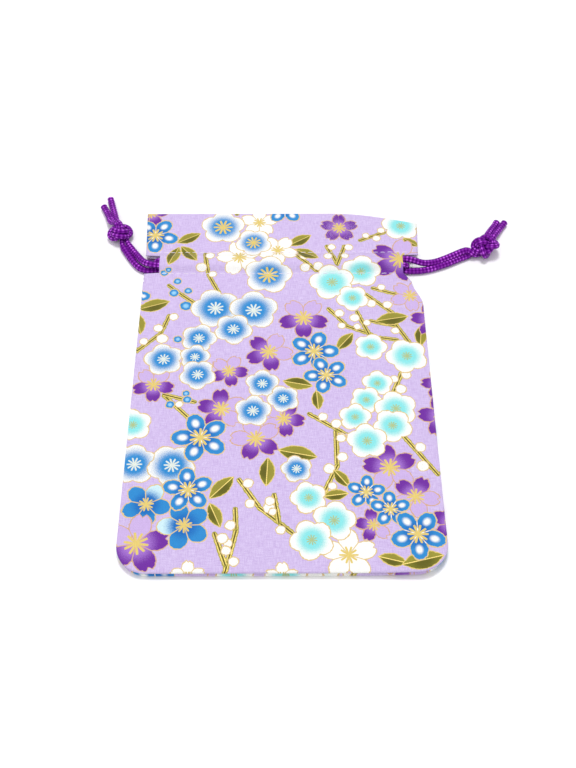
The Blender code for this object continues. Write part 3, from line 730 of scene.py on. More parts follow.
def branch_motifs():
    """Each straight stretch of a branch as a motif, and each bud beside it."""
    stretches, buds = [], []
    for line, line_buds in BRANCHES:
        points = [np.array(p, dtype=float) for p in line]
        for a, b in zip(points, points[1:]):
            middle, run = (a + b) / 2, b - a
            turn = math.degrees(math.atan2(run[1], run[0]))
            stretches.append((BRANCH, *middle, np.hypot(*run) / 2, turn))
        lengths = [np.hypot(*(b - a)) for a, b in zip(points, points[1:])]
        for share, side, radius in line_buds:
            left = share * sum(lengths)
            for a, b, length in zip(points, points[1:], lengths):
                if left <= length:
                    break
                left -= length
            way = (b - a) / length
            radius *= BUD_SIZE
            reach = math.copysign(radius + BRANCH_HALF_WIDTH * BUD_OFF_BRANCH, side)
            place = a + way * left + np.array([-way[1], way[0]]) * reach
            buds.append((WHITE_BUD, *place, radius, 0.0))
    return stretches, buds


def leaf_motif(base_x, base_y, tip_x, tip_y):
    """A leaf as a motif from its base to its tip."""
    half = math.hypot(tip_x - base_x, tip_y - base_y) / 2
    turn = math.degrees(math.atan2(tip_y - base_y, tip_x - base_x))
    return (LEAF, (base_x + tip_x) / 2, (base_y + tip_y) / 2, half, turn)


def all_motifs():
    """Every motif of one repeat, the lowest first: kind, x, y, radius or half length, and turn."""
    stretches, buds = branch_motifs()
    motifs = stretches + buds
    motifs += [(BLUE_BUD, x, y, radius, 0.0) for x, y, radius in BLUE_BUDS]
    motifs += [leaf_motif(*leaf) for leaf in LEAVES]
    motifs += [(SOLID_BLUE, *flower) for flower in UNDER_FLOWERS]
    motifs += [(PURPLE_CHERRY + filled / 10, x, y, r, turn) for x, y, r, turn, filled in PURPLE_CHERRIES]
    for kind, flowers in (
        (WHITE_CHERRY, WHITE_CHERRIES), (CYAN_PLUM, CYAN_PLUMS), (BLUE_PLUM, BLUE_PLUMS),
        (STAR_PLUM, STAR_PLUMS), (SOLID_BLUE, SOLID_FLOWERS), (SPOTTED, SPOTTED_FLOWERS),
    ):
        motifs += [(kind, *flower) for flower in flowers]
    return motifs


def repeated(motifs, low, high, centred):
    """The motifs and their copies one repeat away that reach into a stretch of cloth.

    On a centred panel no copy reaches onto the face itself.
    """
    found = []
    for motif in motifs:
        kind, x, y, radius, turn = motif
        for i in (-1, 0, 1):
            for j in (-1, 0, 1):
                place = (x + i * REPEAT[0], y + j * REPEAT[1])
                if (i or j) and not (low[0] - radius < place[0] < high[0] + radius
                                     and low[1] - radius < place[1] < high[1] + radius):
                    continue
                on_face = abs(place[0]) < HALF_WIDTH + radius and abs(place[1]) < TOP + radius
                if (i or j) and centred and on_face:
                    continue
                found.append((kind, *place, radius, turn))
    return found


def with_thickness(panel):
    """Puts the panel's thickness into its mesh, and gives the mesh."""
    mesh = bpy.data.meshes.new_from_object(panel.evaluated_get(bpy.context.evaluated_depsgraph_get()))
    panel.modifiers.clear()
    old, panel.data = panel.data, mesh
    bpy.data.meshes.remove(old)
    mesh.name = panel.name
    return mesh


def read_whole(items, name):
    """One whole number of every item of a mesh."""
    values = np.zeros(len(items), dtype=int)
    items.foreach_get(name, values)
    return values


def place_in_motif(corners, kind, x, y, radius, turn):
    """Where each corner lies from a motif's middle, along its turn, with the motif's kind and radius."""
    cos, sin = math.cos(math.radians(turn)), math.sin(math.radians(turn))
    dx, dy = corners[:, 0] - x, corners[:, 1] - y
    filler = np.ones(len(dx))
    return np.stack([dx * cos + dy * sin, dy * cos - dx * sin, filler * kind, filler * radius], axis=1)


def print_on(panel, centred):
    """Writes, on each face corner, where it lies in the motifs that reach it."""
    mesh = with_thickness(panel)
    flat = np.zeros(len(mesh.vertices) * 3)
    mesh.attributes["flat"].data.foreach_get("vector", flat)
    corners = flat.reshape(-1, 3)[read_whole(mesh.loops, "vertex_index"), :2]
    sizes = read_whole(mesh.polygons, "loop_total")
    middles = np.add.reduceat(corners, read_whole(mesh.polygons, "loop_start"), axis=0) / sizes[:, None]
    owner = np.repeat(np.arange(len(sizes)), sizes)
    layers = np.zeros((PRINT_LAYERS, len(corners), 4))
    used = np.zeros(len(sizes), dtype=int)
    for motif in repeated(all_motifs(), middles.min(axis=0), middles.max(axis=0), centred):
        _, x, y, radius, _ = motif
        near = np.hypot(middles[:, 0] - x, middles[:, 1] - y) < radius + MOTIF_MARGIN
        if not near.any():
            continue
        full = near & (used >= PRINT_LAYERS)
        if full.any():
            moved = full[owner]
            layers[:-1, moved] = layers[1:, moved]
            used[full] = PRINT_LAYERS - 1
        local = place_in_motif(corners, *motif)
        for layer in range(PRINT_LAYERS):
            chosen = (near & (used == layer))[owner]
            layers[layer, chosen] = local[chosen]
        used[near] += 1
    for layer in range(PRINT_LAYERS):
        kept = mesh.color_attributes.new(f"motif_{layer}", "FLOAT_COLOR", "CORNER")
        kept.data.foreach_set("color", layers[layer].ravel())
    mesh.shade_smooth()


class Value:
    """A shader node's output, which plain arithmetic can go on with."""

    def __init__(self, nodes, socket):
        self.nodes = nodes
        self.socket = socket

    def __add__(self, other):
        return self.nodes.math("ADD", self, other)

    def __sub__(self, other):
        return self.nodes.math("SUBTRACT", self, other)

    def __rsub__(self, other):
        return self.nodes.math("SUBTRACT", other, self)

    def __mul__(self, other):
        return self.nodes.math("MULTIPLY", self, other)

    def __truediv__(self, other):
        return self.nodes.math("DIVIDE", self, other)

    def __abs__(self):
        return self.nodes.math("ABSOLUTE", self)


class Nodes:
    """Short calls that add nodes to a tree."""

    def __init__(self, tree):
        self.tree = tree

    def add(self, kind, **settings):
        node = self.tree.nodes.new(kind)
        for name, value in settings.items():
            setattr(node, name, value)
        return node

    def outputs(self, node):
        return [Value(self, socket) for socket in node.outputs]

    def put(self, sockets, values):
        """Sets or links sockets, from a table of their names or numbers to values."""
        for key, value in values.items():
            if isinstance(value, Value):
                self.tree.links.new(value.socket, sockets[key])
            else:
                sockets[key].default_value = value

    def math(self, operation, *values):
        node = self.add("ShaderNodeMath", operation=operation)
        self.put(node.inputs, dict(enumerate(values)))
        return Value(self, node.outputs[0])

    def ramp(self, value, low, high, to_low=0.0, to_high=1.0):
        """A smooth change from to_low to to_high as value goes from low to high."""
        node = self.add("ShaderNodeMapRange", interpolation_type="SMOOTHSTEP")
        self.put(node.inputs, dict(enumerate((value, low, high, to_low, to_high))))
        return Value(self, node.outputs[0])

    def mix(self, share, first, second):
        node = self.add("ShaderNodeMix", data_type="RGBA")
        self.put(node.inputs, {"Factor": share, 6: first, 7: second})
        return Value(self, node.outputs[2])

    def pick(self, kind, table):
        """A constant colour for each kind, from a table of kind to colour."""
        node = self.add("ShaderNodeValToRGB")
        band = node.color_ramp
        band.interpolation = "CONSTANT"
        band.elements[0].position = 0.0
        band.elements[0].color = (0, 0, 0, 1)
        band.elements.remove(band.elements[1])
        for number, colour in sorted(table.items()):
            band.elements.new((number - KIND_MARGIN) / KIND_SPAN).color = colour
        self.put(node.inputs, {0: kind / KIND_SPAN})
        return Value(self, node.outputs[0])

    def three(self, kind, value):
        """The three numbers of a place or of a colour."""
        node = self.add(kind)
        self.put(node.inputs, {0: value})
        return self.outputs(node)

    def noise(self, place, scale, detail=2.0, rough=0.6):
        node = self.add("ShaderNodeTexNoise")
        self.put(node.inputs, {"Vector": place, "Scale": scale, "Detail": detail, "Roughness": rough})
        return Value(self, node.outputs[0])

    def stretched(self, place, scale):
        """A place with each of its numbers scaled."""
        node = self.add("ShaderNodeVectorMath", operation="MULTIPLY")
        self.put(node.inputs, {0: place, 1: scale})
        return Value(self, node.outputs[0])

    def attribute(self, name, output):
        return Value(self, self.add("ShaderNodeAttribute", attribute_name=name).outputs[output])

    def object_place(self):
        return Value(self, self.add("ShaderNodeTexCoord").outputs["Object"])

    def bump(self, shader, strength, distance, height):
        node = self.add("ShaderNodeBump")
        self.put(node.inputs, {"Strength": strength, "Distance": distance, "Height": height})
        self.put(shader, {"Normal": Value(self, node.outputs[0])})


def new_material(name):
    """A new material, the short calls for its tree, and its shader's inputs."""
    material = bpy.data.materials.new(name)
    material.use_nodes = True
    return material, Nodes(material.node_tree), material.node_tree.nodes["Principled BSDF"].inputs


def between(n, value, low, high):
    """1 where a number lies between two others, and 0 elsewhere."""
    return n.math("GREATER_THAN", value, low) * n.math("LESS_THAN", value, high)


def is_kind(n, kind, wanted):
    """1 where the motif is of the wanted kind."""
    return between(n, kind, wanted - 0.5, wanted + 0.5)


def choose(share, first, second):
    """A number that is first where share is 0 and second where it is 1."""
    return share * (second - first) + first


def far_from(n, x, y):
    """How far a place is from the middle."""
    return n.math("SQRT", x * x + y * y)


def motif_places(n, place, radius, speckle):
    """Where a point lies in its motif and in its petal, and which kind of motif it is."""
    u, v, kind = n.three("ShaderNodeSeparateXYZ", place)
    length = far_from(n, u, v)
    step = n.math("ARCTAN2", v, u) * (PETAL_COUNT / math.tau) + 0.5
    angle = (n.math("FRACT", step) - 0.5) * (math.tau / PETAL_COUNT)
    return SimpleNamespace(
        kind=kind, u=u, v=v, radius=radius, length=length, step=step, out=length / radius,
        seam_angle=math.pi / PETAL_COUNT - abs(angle),
        petal_x=length * n.math("COSINE", angle) / radius,
        petal_y=length * abs(n.math("SINE", angle)) / radius,
        petal=n.three("ShaderNodeSeparateColor", n.pick(kind, PETALS)),
        middle=n.three("ShaderNodeSeparateColor", n.pick(kind, MIDDLES)),
        grain=(speckle - 0.5) * SPECKLE_REACH,
        is_leaf=is_kind(n, kind, LEAF),
        is_branch=is_kind(n, kind, BRANCH),
        is_plum=between(n, kind, BLUE_PLUM - 0.5, CYAN_PLUM + 0.5),
        is_flower=between(n, kind, 0.5, PURPLE_CHERRY + 0.7),
    )


def flower_edge(n, m):
    """How far a point lies outside the five petals and the heart between them."""
    across, half_length, half_width = m.petal[:3]
    oval = far_from(n, (m.petal_x - across) / half_length, m.petal_y / half_width)
    petal_edge = (oval - 1.0) * half_width * m.radius
    notch = (m.petal_x - (1.0 - m.middle[0]) - m.petal_y) * m.radius
    notch = notch - between(n, m.kind, 0, WHITE_CHERRY - 0.5) * NO_NOTCH
    petals = n.math("MAXIMUM", petal_edge, notch)
    return n.math("MINIMUM", petals, m.length - m.radius * HEART_REACH)


def leaf_edge(m):
    """How far a point lies outside a leaf."""
    along = m.u / m.radius
    return abs(m.v) - (1.0 - along * along) * LEAF_WIDTH * m.radius


def branch_edge(n, m):
    """How far a point lies outside a stretch of a branch."""
    past = n.math("MAXIMUM", abs(m.u) - m.radius, 0.0)
    return far_from(n, past, m.v) - BRANCH_HALF_WIDTH


def petal_fill(n, m, speckled, fill):
    """A fill with the petals' white spots, and with the petals of another colour."""
    spot = far_from(n, (m.petal_x - SPOT_PLACE) / SPOT_LENGTH, m.petal_y / SPOT_WIDTH)
    spot = n.ramp(spot + m.grain, *SPOT_EDGE) * is_kind(n, m.kind, SPOTTED)
    fill = n.mix(spot, fill, WHITE)
    index = n.math("FLOORED_MODULO", n.math("FLOOR", m.step), float(PETAL_COUNT))
    filled_petals = (m.kind - float(PURPLE_CHERRY)) * 10.0
    is_purple = between(n, m.kind, PURPLE_CHERRY - 0.1, PURPLE_CHERRY + 0.7)
    fill = n.mix(n.math("GREATER_THAN", index, filled_petals - 0.5) * is_purple, fill, LILAC)
    pale = n.math("LESS_THAN", index, 0.5) * is_kind(n, m.kind, SOLID_BLUE)
    return n.mix(pale * n.ramp(speckled, *PALE_EDGE), fill, PALE_PETAL)


def stamen_share(n, m):
    """1 on a flower's star of stamens."""
    ray = n.math("FRACT", m.step * 2.0) - 0.5
    taper = 1.0 - abs(ray) * STAR_TAPER
    blunt = n.math("MINIMUM", taper * taper * STAR_FULLNESS, 1.0)
    star = n.math("MAXIMUM", m.middle[2], SMALLEST) * blunt
    return n.ramp(m.out + m.grain * STAR_GRAIN - star, *STAR_EDGE) * m.is_flower


def motif_fill(n, m):
    """The colour inside a motif's edge, and how golden it is."""
    speckled = m.out + m.grain
    disc = n.ramp(speckled / n.math("MAXIMUM", m.middle[1], SMALLEST), *DISC_EDGE)
    inner = choose(m.is_plum, n.ramp(speckled, *BASE_EDGE), disc)
    fill = n.mix(inner, n.pick(m.kind, FILLS), n.pick(m.kind, INNER_FILLS))
    fill = petal_fill(n, m, speckled, fill)
    light_side = n.ramp(m.v, *LEAF_LIGHT_EDGE) * m.is_leaf
    fill = n.mix(light_side * LEAF_LIGHT, fill, OLD_GOLD)
    vein = n.ramp(abs(m.v), *VEIN_EDGE) * m.is_leaf
    ridge = n.ramp(abs(m.v), *RIDGE_EDGE) * m.is_branch
    golden = n.math("MAXIMUM", vein, ridge)
    fill = n.mix(golden, fill, PALE_GOLD)
    seam = m.out * (m.radius * n.math("SINE", m.seam_angle))
    seam = n.ramp(seam, SEAM_WIDTH, SEAM_WIDTH / 2) * (m.is_flower - m.is_plum)
    fill = n.mix(seam, fill, n.pick(m.kind, SEAMS))
    stamens = stamen_share(n, m)
    fill = n.mix(stamens, fill, n.pick(m.kind, STAMENS))
    return fill, n.math("MAXIMUM", golden, stamens * STAMEN_GOLD)


def motif_group():
    """The node group that paints one layer of motifs over what lies below it."""
    tree = bpy.data.node_groups.new("motif_layer", "ShaderNodeTree")
    taken = {"Place": "Vector", "Radius": "Float", "Rough": "Float", "Speckle": "Float", "Below": "Color",
             "Gold": "Float"}
    for name, kind in taken.items():
        tree.interface.new_socket(name, in_out="INPUT", socket_type="NodeSocket" + kind)
    for name, kind in {"Colour": "Color", "Gold": "Float"}.items():
        tree.interface.new_socket(name, in_out="OUTPUT", socket_type="NodeSocket" + kind)
    n = Nodes(tree)
    given = dict(zip(taken, n.outputs(n.add("NodeGroupInput"))))
    m = motif_places(n, given["Place"], given["Radius"], given["Speckle"])
    edge = choose(m.is_leaf, flower_edge(n, m), leaf_edge(m))
    edge = choose(m.is_branch, edge, branch_edge(n, m))
    edge = choose(n.math("GREATER_THAN", m.kind, WHITE_BUD - 0.5), edge, m.length - m.radius)
    edge = edge + (given["Rough"] - 0.5) * EDGE_WANDER
    covered = n.ramp(edge, OUTLINE_WIDTH + EDGE_SOFTNESS, OUTLINE_WIDTH)
    covered = covered * n.math("GREATER_THAN", m.kind, 0.5)
    filled = n.ramp(edge, EDGE_SOFTNESS, 0.0)
    fill, gold = motif_fill(n, m)
    colour = n.mix(filled, n.pick(m.kind, OUTLINES), fill)
    gold = gold * filled + (1.0 - filled) * OUTLINE_GOLD
    n.put(n.add("NodeGroupOutput").inputs, {
        "Colour": n.mix(covered, given["Below"], colour),
        "Gold": choose(covered, given["Gold"], gold),
    })
    return tree


def weave_bump(n, shader, flat, slubs):
    """Threads over and under each other, with the thicker ones standing proud."""
    across, along, _ = n.three("ShaderNodeSeparateXYZ", flat)
    turn = math.pi / THREAD_PITCH
    weave = n.math("SINE", across * turn) * n.math("SINE", along * turn)
    n.bump(shader, WEAVE_STRENGTH, WEAVE_DEPTH, weave * WEAVE_SHARE + slubs)


def cotton_material():
    """Printed plain-weave cotton."""
    material, n, shader = new_material("printed_cotton")
    flat = n.attribute("flat", "Vector")
    rough = n.noise(flat, EDGE_NOISE)
    speckle = n.noise(flat, SPECKLE_NOISE, 2.0, 0.8)
    grain = n.noise(flat, GRAIN_NOISE, 1.0)
    slubs = (n.noise(n.stretched(flat, (SLUB_ALONG, SLUB_ACROSS, 1.0)), 1.0)
             + n.noise(n.stretched(flat, (SLUB_ACROSS, SLUB_ALONG, 1.0)), 1.0))
    colour = n.mix(n.ramp(slubs, *GROUND_EDGE), GROUND_DEEP, GROUND_PALE)
    gold = 0.0
    group = motif_group()
    for layer in range(PRINT_LAYERS):
        _, place, _, radius = n.outputs(n.add("ShaderNodeAttribute", attribute_name=f"motif_{layer}"))
        painted = n.add("ShaderNodeGroup", node_tree=group)
        n.put(painted.inputs, {
            "Place": place, "Radius": n.math("MAXIMUM", radius, SMALLEST_RADIUS), "Rough": rough,
            "Speckle": speckle, "Below": colour, "Gold": gold,
        })
        colour, gold = n.outputs(painted)
    toned = n.add("ShaderNodeVectorMath", operation="SCALE")
    shade = n.ramp(slubs, *SLUB_SHADE) * n.ramp(grain, *GRAIN_SHADE)
    n.put(toned.inputs, {0: colour, "Scale": shade})
    n.put(shader, {
        "Base Color": n.outputs(toned)[0], "Metallic": gold * GOLD_METAL,
        "Roughness": COTTON_ROUGHNESS - gold * GOLD_GLOSS, "Sheen Weight": 0.15, "Specular IOR Level": 0.25,
    })
    weave_bump(n, shader, flat, slubs)
    return material


def reverse_material():
    """The unprinted side of the cotton."""
    material, n, shader = new_material("cotton_reverse")
    flat = n.attribute("flat", "Vector")
    slubs = n.noise(n.stretched(flat, REVERSE_SLUBS), 1.0) + n.noise(flat, REVERSE_NOISE)
    n.put(shader, {"Base Color": n.mix(n.ramp(slubs, *REVERSE_EDGE), REVERSE, WHITE), "Roughness": 0.9})
    weave_bump(n, shader, flat, slubs)
    return material


def thread_material():
    """Pale sewing thread."""
    material, n, shader = new_material("sewing_thread")
    fibres = n.noise(n.object_place(), 2500.0)
    n.put(shader, {"Base Color": n.mix(fibres, THREAD, WHITE), "Roughness": 0.55})
    return material


def cord_material():
    """Soft braided cord with painted highlight on its raised crossings and painted shade in its hollows."""
    material, n, shader = new_material("purple_braid")
    weave = n.attribute("weave", "Fac")
    place = n.object_place()
    patch = n.ramp(n.noise(place, PATCH_NOISE), *PATCH_EDGE)
    fine = n.noise(place, FIBRE_NOISE, 1.0)
    # Painted highlight where the braid is raised, in patches, and painted shade where it sinks
    raised = n.ramp(weave + fine * PAINTED_HIGHLIGHT_GRAIN, *PAINTED_HIGHLIGHT_EDGE)
    painted_shade = n.ramp(weave, *PAINTED_SHADE_EDGE)
    colour = n.mix(painted_shade * PAINTED_SHADE_SHARE, CORD_BODY, CORD_PAINTED_SHADE)
    colour = n.mix(raised * choose(patch, *PAINTED_HIGHLIGHT_SHARE), colour, CORD_PAINTED_HIGHLIGHT)
    # The painted highlight's colour also tints the specular
    n.put(shader, {
        "Base Color": colour, "Roughness": 0.5, "Specular IOR Level": 0.2, "Specular Tint": CORD_PAINTED_HIGHLIGHT,
    })
    threads = n.math("SINE", n.attribute("along", "Fac") * (math.tau / CORD_THREAD_PITCH))
    n.bump(shader, *CORD_BUMP, threads + fine)
    return material


def add_object(name, data):
    """A new object in the scene."""
    made = bpy.data.objects.new(name, data)
    bpy.context.scene.collection.objects.link(made)
    return made


def stitch_row(made, height, along, start, end, sign):
    """One row of stitches on a panel, each bowed out from the two holes that it goes in through."""
    bowed = STITCH_BOW if sign > 0 else STITCH_BOW_PRESSED
    count = int((end - start) / (STITCH + STITCH_GAP))
    for i in range(count):
        left = start + i * (STITCH + STITCH_GAP)
        rings = []
        for k in range(STITCH_RINGS + 1):
            share = k / STITCH_RINGS
            x = left + STITCH * share
            y = along + STITCH_WANDER * math.sin(i * 2.3 + x)
            bow = math.sin(math.pi * share)
            base = float(height(np.array([x]), np.array([y]), False)[0])
            z = base + sign * (CLOTH / 2 - STITCH_RADIUS + bow * STITCH_RADIUS * bowed)
            radius = STITCH_RADIUS * (STITCH_END + (1 - STITCH_END) * bow)
            ring = []
            for j in range(STITCH_SIDES):
                turn = math.tau * j / STITCH_SIDES
                place = Vector((x, y + radius * math.cos(turn), z + radius * math.sin(turn)))
                ring.append(made.verts.new(place * MM))
            rings.append(ring)
        for a, b in zip(rings, rings[1:]):
            for j in range(STITCH_SIDES):
                after = (j + 1) % STITCH_SIDES
                made.faces.new((a[j], a[after], b[after], b[j]))
        made.faces.new(rings[0][::-1])
        made.faces.new(rings[-1])


def stitching(name, height, sign):
    """The casing's two stitch rows on one panel."""
    made = bmesh.new()
    reach = HALF_WIDTH - UPPER_ROW_INSET
    stitch_row(made, height, UPPER_ROW, -reach, reach, sign)
    left, right = LEFT_MOUTH + LOWER_ROW_INSET, RIGHT_MOUTH - LOWER_ROW_INSET
    stitch_row(made, height, LOWER_ROW, left, right, sign)
    mesh = bpy.data.meshes.new(name)
    point_out(made, mesh)
    return add_object(name, mesh)


def point_out(made, mesh):
    """Writes a bmesh to a mesh, smooth and with its faces pointing out."""
    bmesh.ops.recalc_face_normals(made, faces=made.faces)
    made.to_mesh(mesh)
    made.free()
    mesh.shade_smooth()


def smooth_route(points, step):
    """Places along a smooth curve through the given ones."""
    points = [np.array(point, dtype=float) for point in points]
    route = []
    for i in range(len(points) - 1):
        near, far = points[i], points[i + 1]
        before = points[i - 1] if i else 2 * near - far
        after = points[i + 2] if i + 2 < len(points) else 2 * far - near
        pieces = max(1, round(np.linalg.norm((far - near)[:3]) / step))
        for k in range(pieces):
            t = k / pieces
            pull = 2 * before - 5 * near + 4 * far - after
            bend = 3 * near - before - 3 * far + after
            route.append(near + ((far - before) * t + pull * t * t + bend * t * t * t) / 2)
    return np.array(route + [points[-1]])


def evenly(route, count):
    """A route with the given number of places, all as far apart along it."""
    route = np.array(route)
    along = np.concatenate([[0], np.cumsum(np.linalg.norm(np.diff(route[:, :3], axis=0), axis=1))])
    wanted = np.linspace(0, along[-1], count)
    return np.stack([np.interp(wanted, along, column) for column in route.T], axis=1)


def route_length(route):
    """How long a route is."""
    return float(np.linalg.norm(np.diff(route[:, :3], axis=0), axis=1).sum())


def settled(route, share, chosen=slice(None)):
    """Moves the chosen inner places of a route a share of the way to the middle of their neighbours."""
    middle = (route[:-2] + route[2:]) / 2
    route[1:-1][chosen] += share * (middle - route[1:-1])[chosen]


def loose_knot(middle, heading, offset):
    """An overhand knot tied loosely, for a strand that lies beside its middle line."""
    turn = np.linspace(math.pi + LOOSE_KNOT_OPEN, 3 * math.pi - LOOSE_KNOT_OPEN, 4 * KNOT_POINTS)
    x = LOOSE_KNOT_SIZE * (np.sin(turn) + 2 * np.sin(2 * turn))
    y = LOOSE_KNOT_SIZE * (np.cos(turn) - 2 * np.cos(2 * turn) + 3)
    z = LOOSE_KNOT_LIFT + LOOSE_KNOT_HEIGHT * np.sin(3 * turn)
    way = np.stack([np.gradient(x), np.gradient(y)])
    way /= np.hypot(*way)
    x, y = x - way[1] * offset, y + way[0] * offset
    cos, sin = math.cos(heading), math.sin(heading)
    return np.stack([middle[0] + x * cos - y * sin, middle[1] + x * sin + y * cos, z], axis=1)


def pull_tight(strands, target, ceiling):
    """Draws the strands short until their turns lie on each other, round the given middle."""
    size = len(strands[0])
    places = np.vstack(strands)
    index = np.arange(size)
    free = np.tile((index >= KNOT_FIXED) & (index < size - KNOT_FIXED), 2)
    strand = np.repeat([0, 1], size)
    along = np.tile(index, 2)
    same = strand[:, None] == strand[None]
    apart = np.abs(along[:, None] - along[None])
    thick = 2 * KNOT_CORD_RADIUS
    share = np.clip((index - KNOT_FIXED) / (size - 2 * KNOT_FIXED), 0, 1)
    carried = np.tile(np.minimum(1.0, np.minimum(share, 1 - share) / KNOT_CORE), 2)
    core = np.tile((share > KNOT_CORE) & (share < 1 - KNOT_CORE), 2)
    for pull in range(KNOT_PULLS):
        settled(places, KNOT_PULL, free[1:-1])
        slide = (target - places[core, :2].mean(axis=0)) * KNOT_SLIDE
        places[:, :2] += np.outer(carried * free, slide)
        spacing = np.linalg.norm(np.diff(places[KNOT_FIXED:size - KNOT_FIXED], axis=0), axis=1).mean()
        near = same & (apart * spacing < KNOT_NEIGHBOUR * thick)
        for settle in range(2):
            gap = places[:, None] - places[None]
            distance = np.linalg.norm(gap, axis=2)
            inside = np.where((distance < thick) & ~near, thick - distance, 0.0)
            push = (gap * (inside / np.maximum(distance, 1e-6))[:, :, None]).sum(axis=1)
            count = np.maximum(1, (inside > 0).sum(axis=1))
            places[free] += (push / (2 * count[:, None]))[free] * KNOT_PUSH
            places[free, 2] = np.clip(places[free, 2], KNOT_CORD_RADIUS, ceiling - KNOT_CORD_RADIUS)
    for settle in range(3):
        settled(places, KNOT_SETTLE, free[1:-1])
    return places[:size], places[size:]


def knot_middle(cord):
    """The middle of a drawstring's knot."""
    return np.array([cord.mouth + cord.knot[0] / MM, LOW_CORD + cord.knot[1] / MM])


def tied_ends(cord):
    """Both strands of one side, from the mouth through their knot to their tips."""
    middle = knot_middle(cord)
    away = np.array([-math.sin(cord.heading), math.cos(cord.heading)])
    entries = [
        smooth_route([(cord.mouth + x / MM, LOW_CORD + y / MM, z / MM) for x, y, z in end], ROUGH_STEP)
        for end in cord.ends
    ]
    exits = [
        smooth_route([(*(middle + np.array([x, y]) / MM), z / MM) for x, y, z in tail], ROUGH_STEP)
        for tail in cord.tails
    ]
    sides = [(entry[-1][:2] - middle) @ away for entry in entries]
    loose = []
    for entry, leave, side in zip(entries, exits, sides):
        offset = KNOT_CORD_RADIUS * math.copysign(STRANDS_APART, side - sum(sides) / len(sides))
        rough = np.vstack([entry[-1:], loose_knot(middle, cord.heading, offset), leave[:1]])
        knotted = evenly(rough, KNOT_POINTS)
        loose.append(np.vstack([entry[-KNOT_FIXED - 1:-1], knotted, leave[1:KNOT_FIXED + 1]]))
    return [
        np.vstack([entry[:-KNOT_FIXED - 1], knotted, leave[KNOT_FIXED + 1:]])
        for entry, knotted, leave in zip(entries, pull_tight(loose, middle, cord.ceiling), exits)
    ]


def free_strand(strand, middle):
    """A strand with its half widths, flatter where it lies free and round where the knot grips it."""
    for settle in range(STRAND_PASSES):
        settled(strand, KNOT_SETTLE)
    away = np.hypot(strand[:, 0] - middle[0], strand[:, 1] - middle[1])
    gripped = smooth((KNOT_GRIP - away) / KNOT_GRIP_FADE)
    wide = FREE_HALF_WIDTH + (KNOT_CORD_RADIUS - FREE_HALF_WIDTH) * gripped
    high = FREE_HALF_HEIGHT + (KNOT_CORD_RADIUS - FREE_HALF_HEIGHT) * gripped
    strand[:, 2] = np.maximum(strand[:, 2], high + BRAID_DEPTH)
    return np.column_stack([strand, wide, high])


def casing_places(near, far):
    """Even places across the casing from one x to another."""
    return spread(near, far, CASING_PITCH) + [far]


def front_run(near, far, along):
    """The straight run through the front casing."""
    half_width = CORD_IN_CASING_WIDTH / 2
    return [(x, along, FRONT_CORD + CROSSING_LIFT * float(crossing(x)), half_width, PRESSED_RADIUS)
            for x in casing_places(near, far)]


def back_run(near, far, cord):
    """The run through the back casing, where the two drawstrings cross near the right mouth."""
    run = []
    for x in casing_places(near, far):
        past = abs(x - CROSSING) / CROSSING_REACH - CROSSING_PRESSED
        pressed = 1 - float(smooth(past / CROSSING_EASED))
        high = PRESSED_RADIUS + (CORD_CROSSED / 2 - PRESSED_RADIUS) * pressed
        share = float(smooth((x - CROSSING) / (CROSSING_SLANT * CROSSING_REACH) + 0.5))
        along = cord.back_left + (cord.back_right - cord.back_left) * share
        z = CLOTH + CORD_WRAP + high + ((CORD_CROSSED + CORD_WRAP) * pressed if cord.over else 0.0)
        run.append((x, along, z, CORD_IN_CASING_WIDTH / 2, high))
    return run


def joined(lead, free):
    """The run inside the casing and the free strand as one smooth route, eased where they meet."""
    meeting = free[0, :3].copy()
    route = np.vstack([lead[:-1], free])
    route = evenly(route, round(route_length(route) / ROUGH_STEP))
    near = np.linalg.norm(route[1:-1, :3] - meeting, axis=1) < MOUTH_EASE
    for settle in range(MOUTH_PASSES):
        settled(route, 0.5, near)
    return smooth_route(route, ROUTE_STEP)


def tube_rings(route, step):
    """The rings of a braided cord: their places, how raised the braid is there, and how far along."""
    middle = route[:, :3]
    way = np.gradient(middle, axis=0)
    way /= np.linalg.norm(way, axis=1)[:, None]
    side = np.cross(way[0], (0, 0, 1))
    side /= np.linalg.norm(side)
    turn = np.arange(CORD_SIDES) * math.tau / CORD_SIDES
    phase = BRAID_STRANDS * turn
    verts, weave, along = [], [], []
    for i in range(len(route)):
        side = side - way[i] * (side @ way[i])
        side /= np.linalg.norm(side)
        up = np.cross(side, way[i])
        length = i * step
        slant = math.pi * length / BRAID_PITCH
        raised = np.sin(phase + slant) * np.sin(phase - slant)
        radius = route[i, 3] + BRAID_DEPTH * raised
        ring = np.outer(np.cos(turn) * radius, side) + np.outer(np.sin(turn) * radius, up)
        ring[:, 2] *= route[i, 4] / route[i, 3]
        rings = [(0.0, 1.0)]
        if i == 0:
            rings = [(-out, size) for out, size in CORD_CAP] + rings
        if i == len(route) - 1:
            rings = rings + CORD_CAP[::-1]
        for out, size in rings:
            verts.append(middle[i] + way[i] * out + ring * size)
            weave.append(raised)
            along.append(np.full(CORD_SIDES, length))
    return verts, weave, along


def braid_tube(name, route, step):
    """A braided round cord along a route, whose last two numbers are its half width and half height."""
    route = evenly(route, max(8, int(route_length(route) / step)))
    verts, weave, along = tube_rings(route, step)
    faces = [tuple(range(CORD_SIDES))[::-1]]
    for first in range(0, (len(verts) - 1) * CORD_SIDES, CORD_SIDES):
        for j in range(CORD_SIDES):
            near, after = first + j, first + (j + 1) % CORD_SIDES
            faces.append((near, after, after + CORD_SIDES, near + CORD_SIDES))
    faces.append(tuple((len(verts) - 1) * CORD_SIDES + j for j in range(CORD_SIDES)))
    mesh = bpy.data.meshes.new(name)
    mesh.from_pydata([tuple(v * MM) for v in np.vstack(verts)], [], faces)
    made = bmesh.new()
    made.from_mesh(mesh)
    point_out(made, mesh)
    for kind, values in (("weave", weave), ("along", along)):
        mesh.attributes.new(kind, "FLOAT", "POINT").data.foreach_set("value", np.concatenate(values))
    return add_object(name, mesh), route[:, :3] * MM


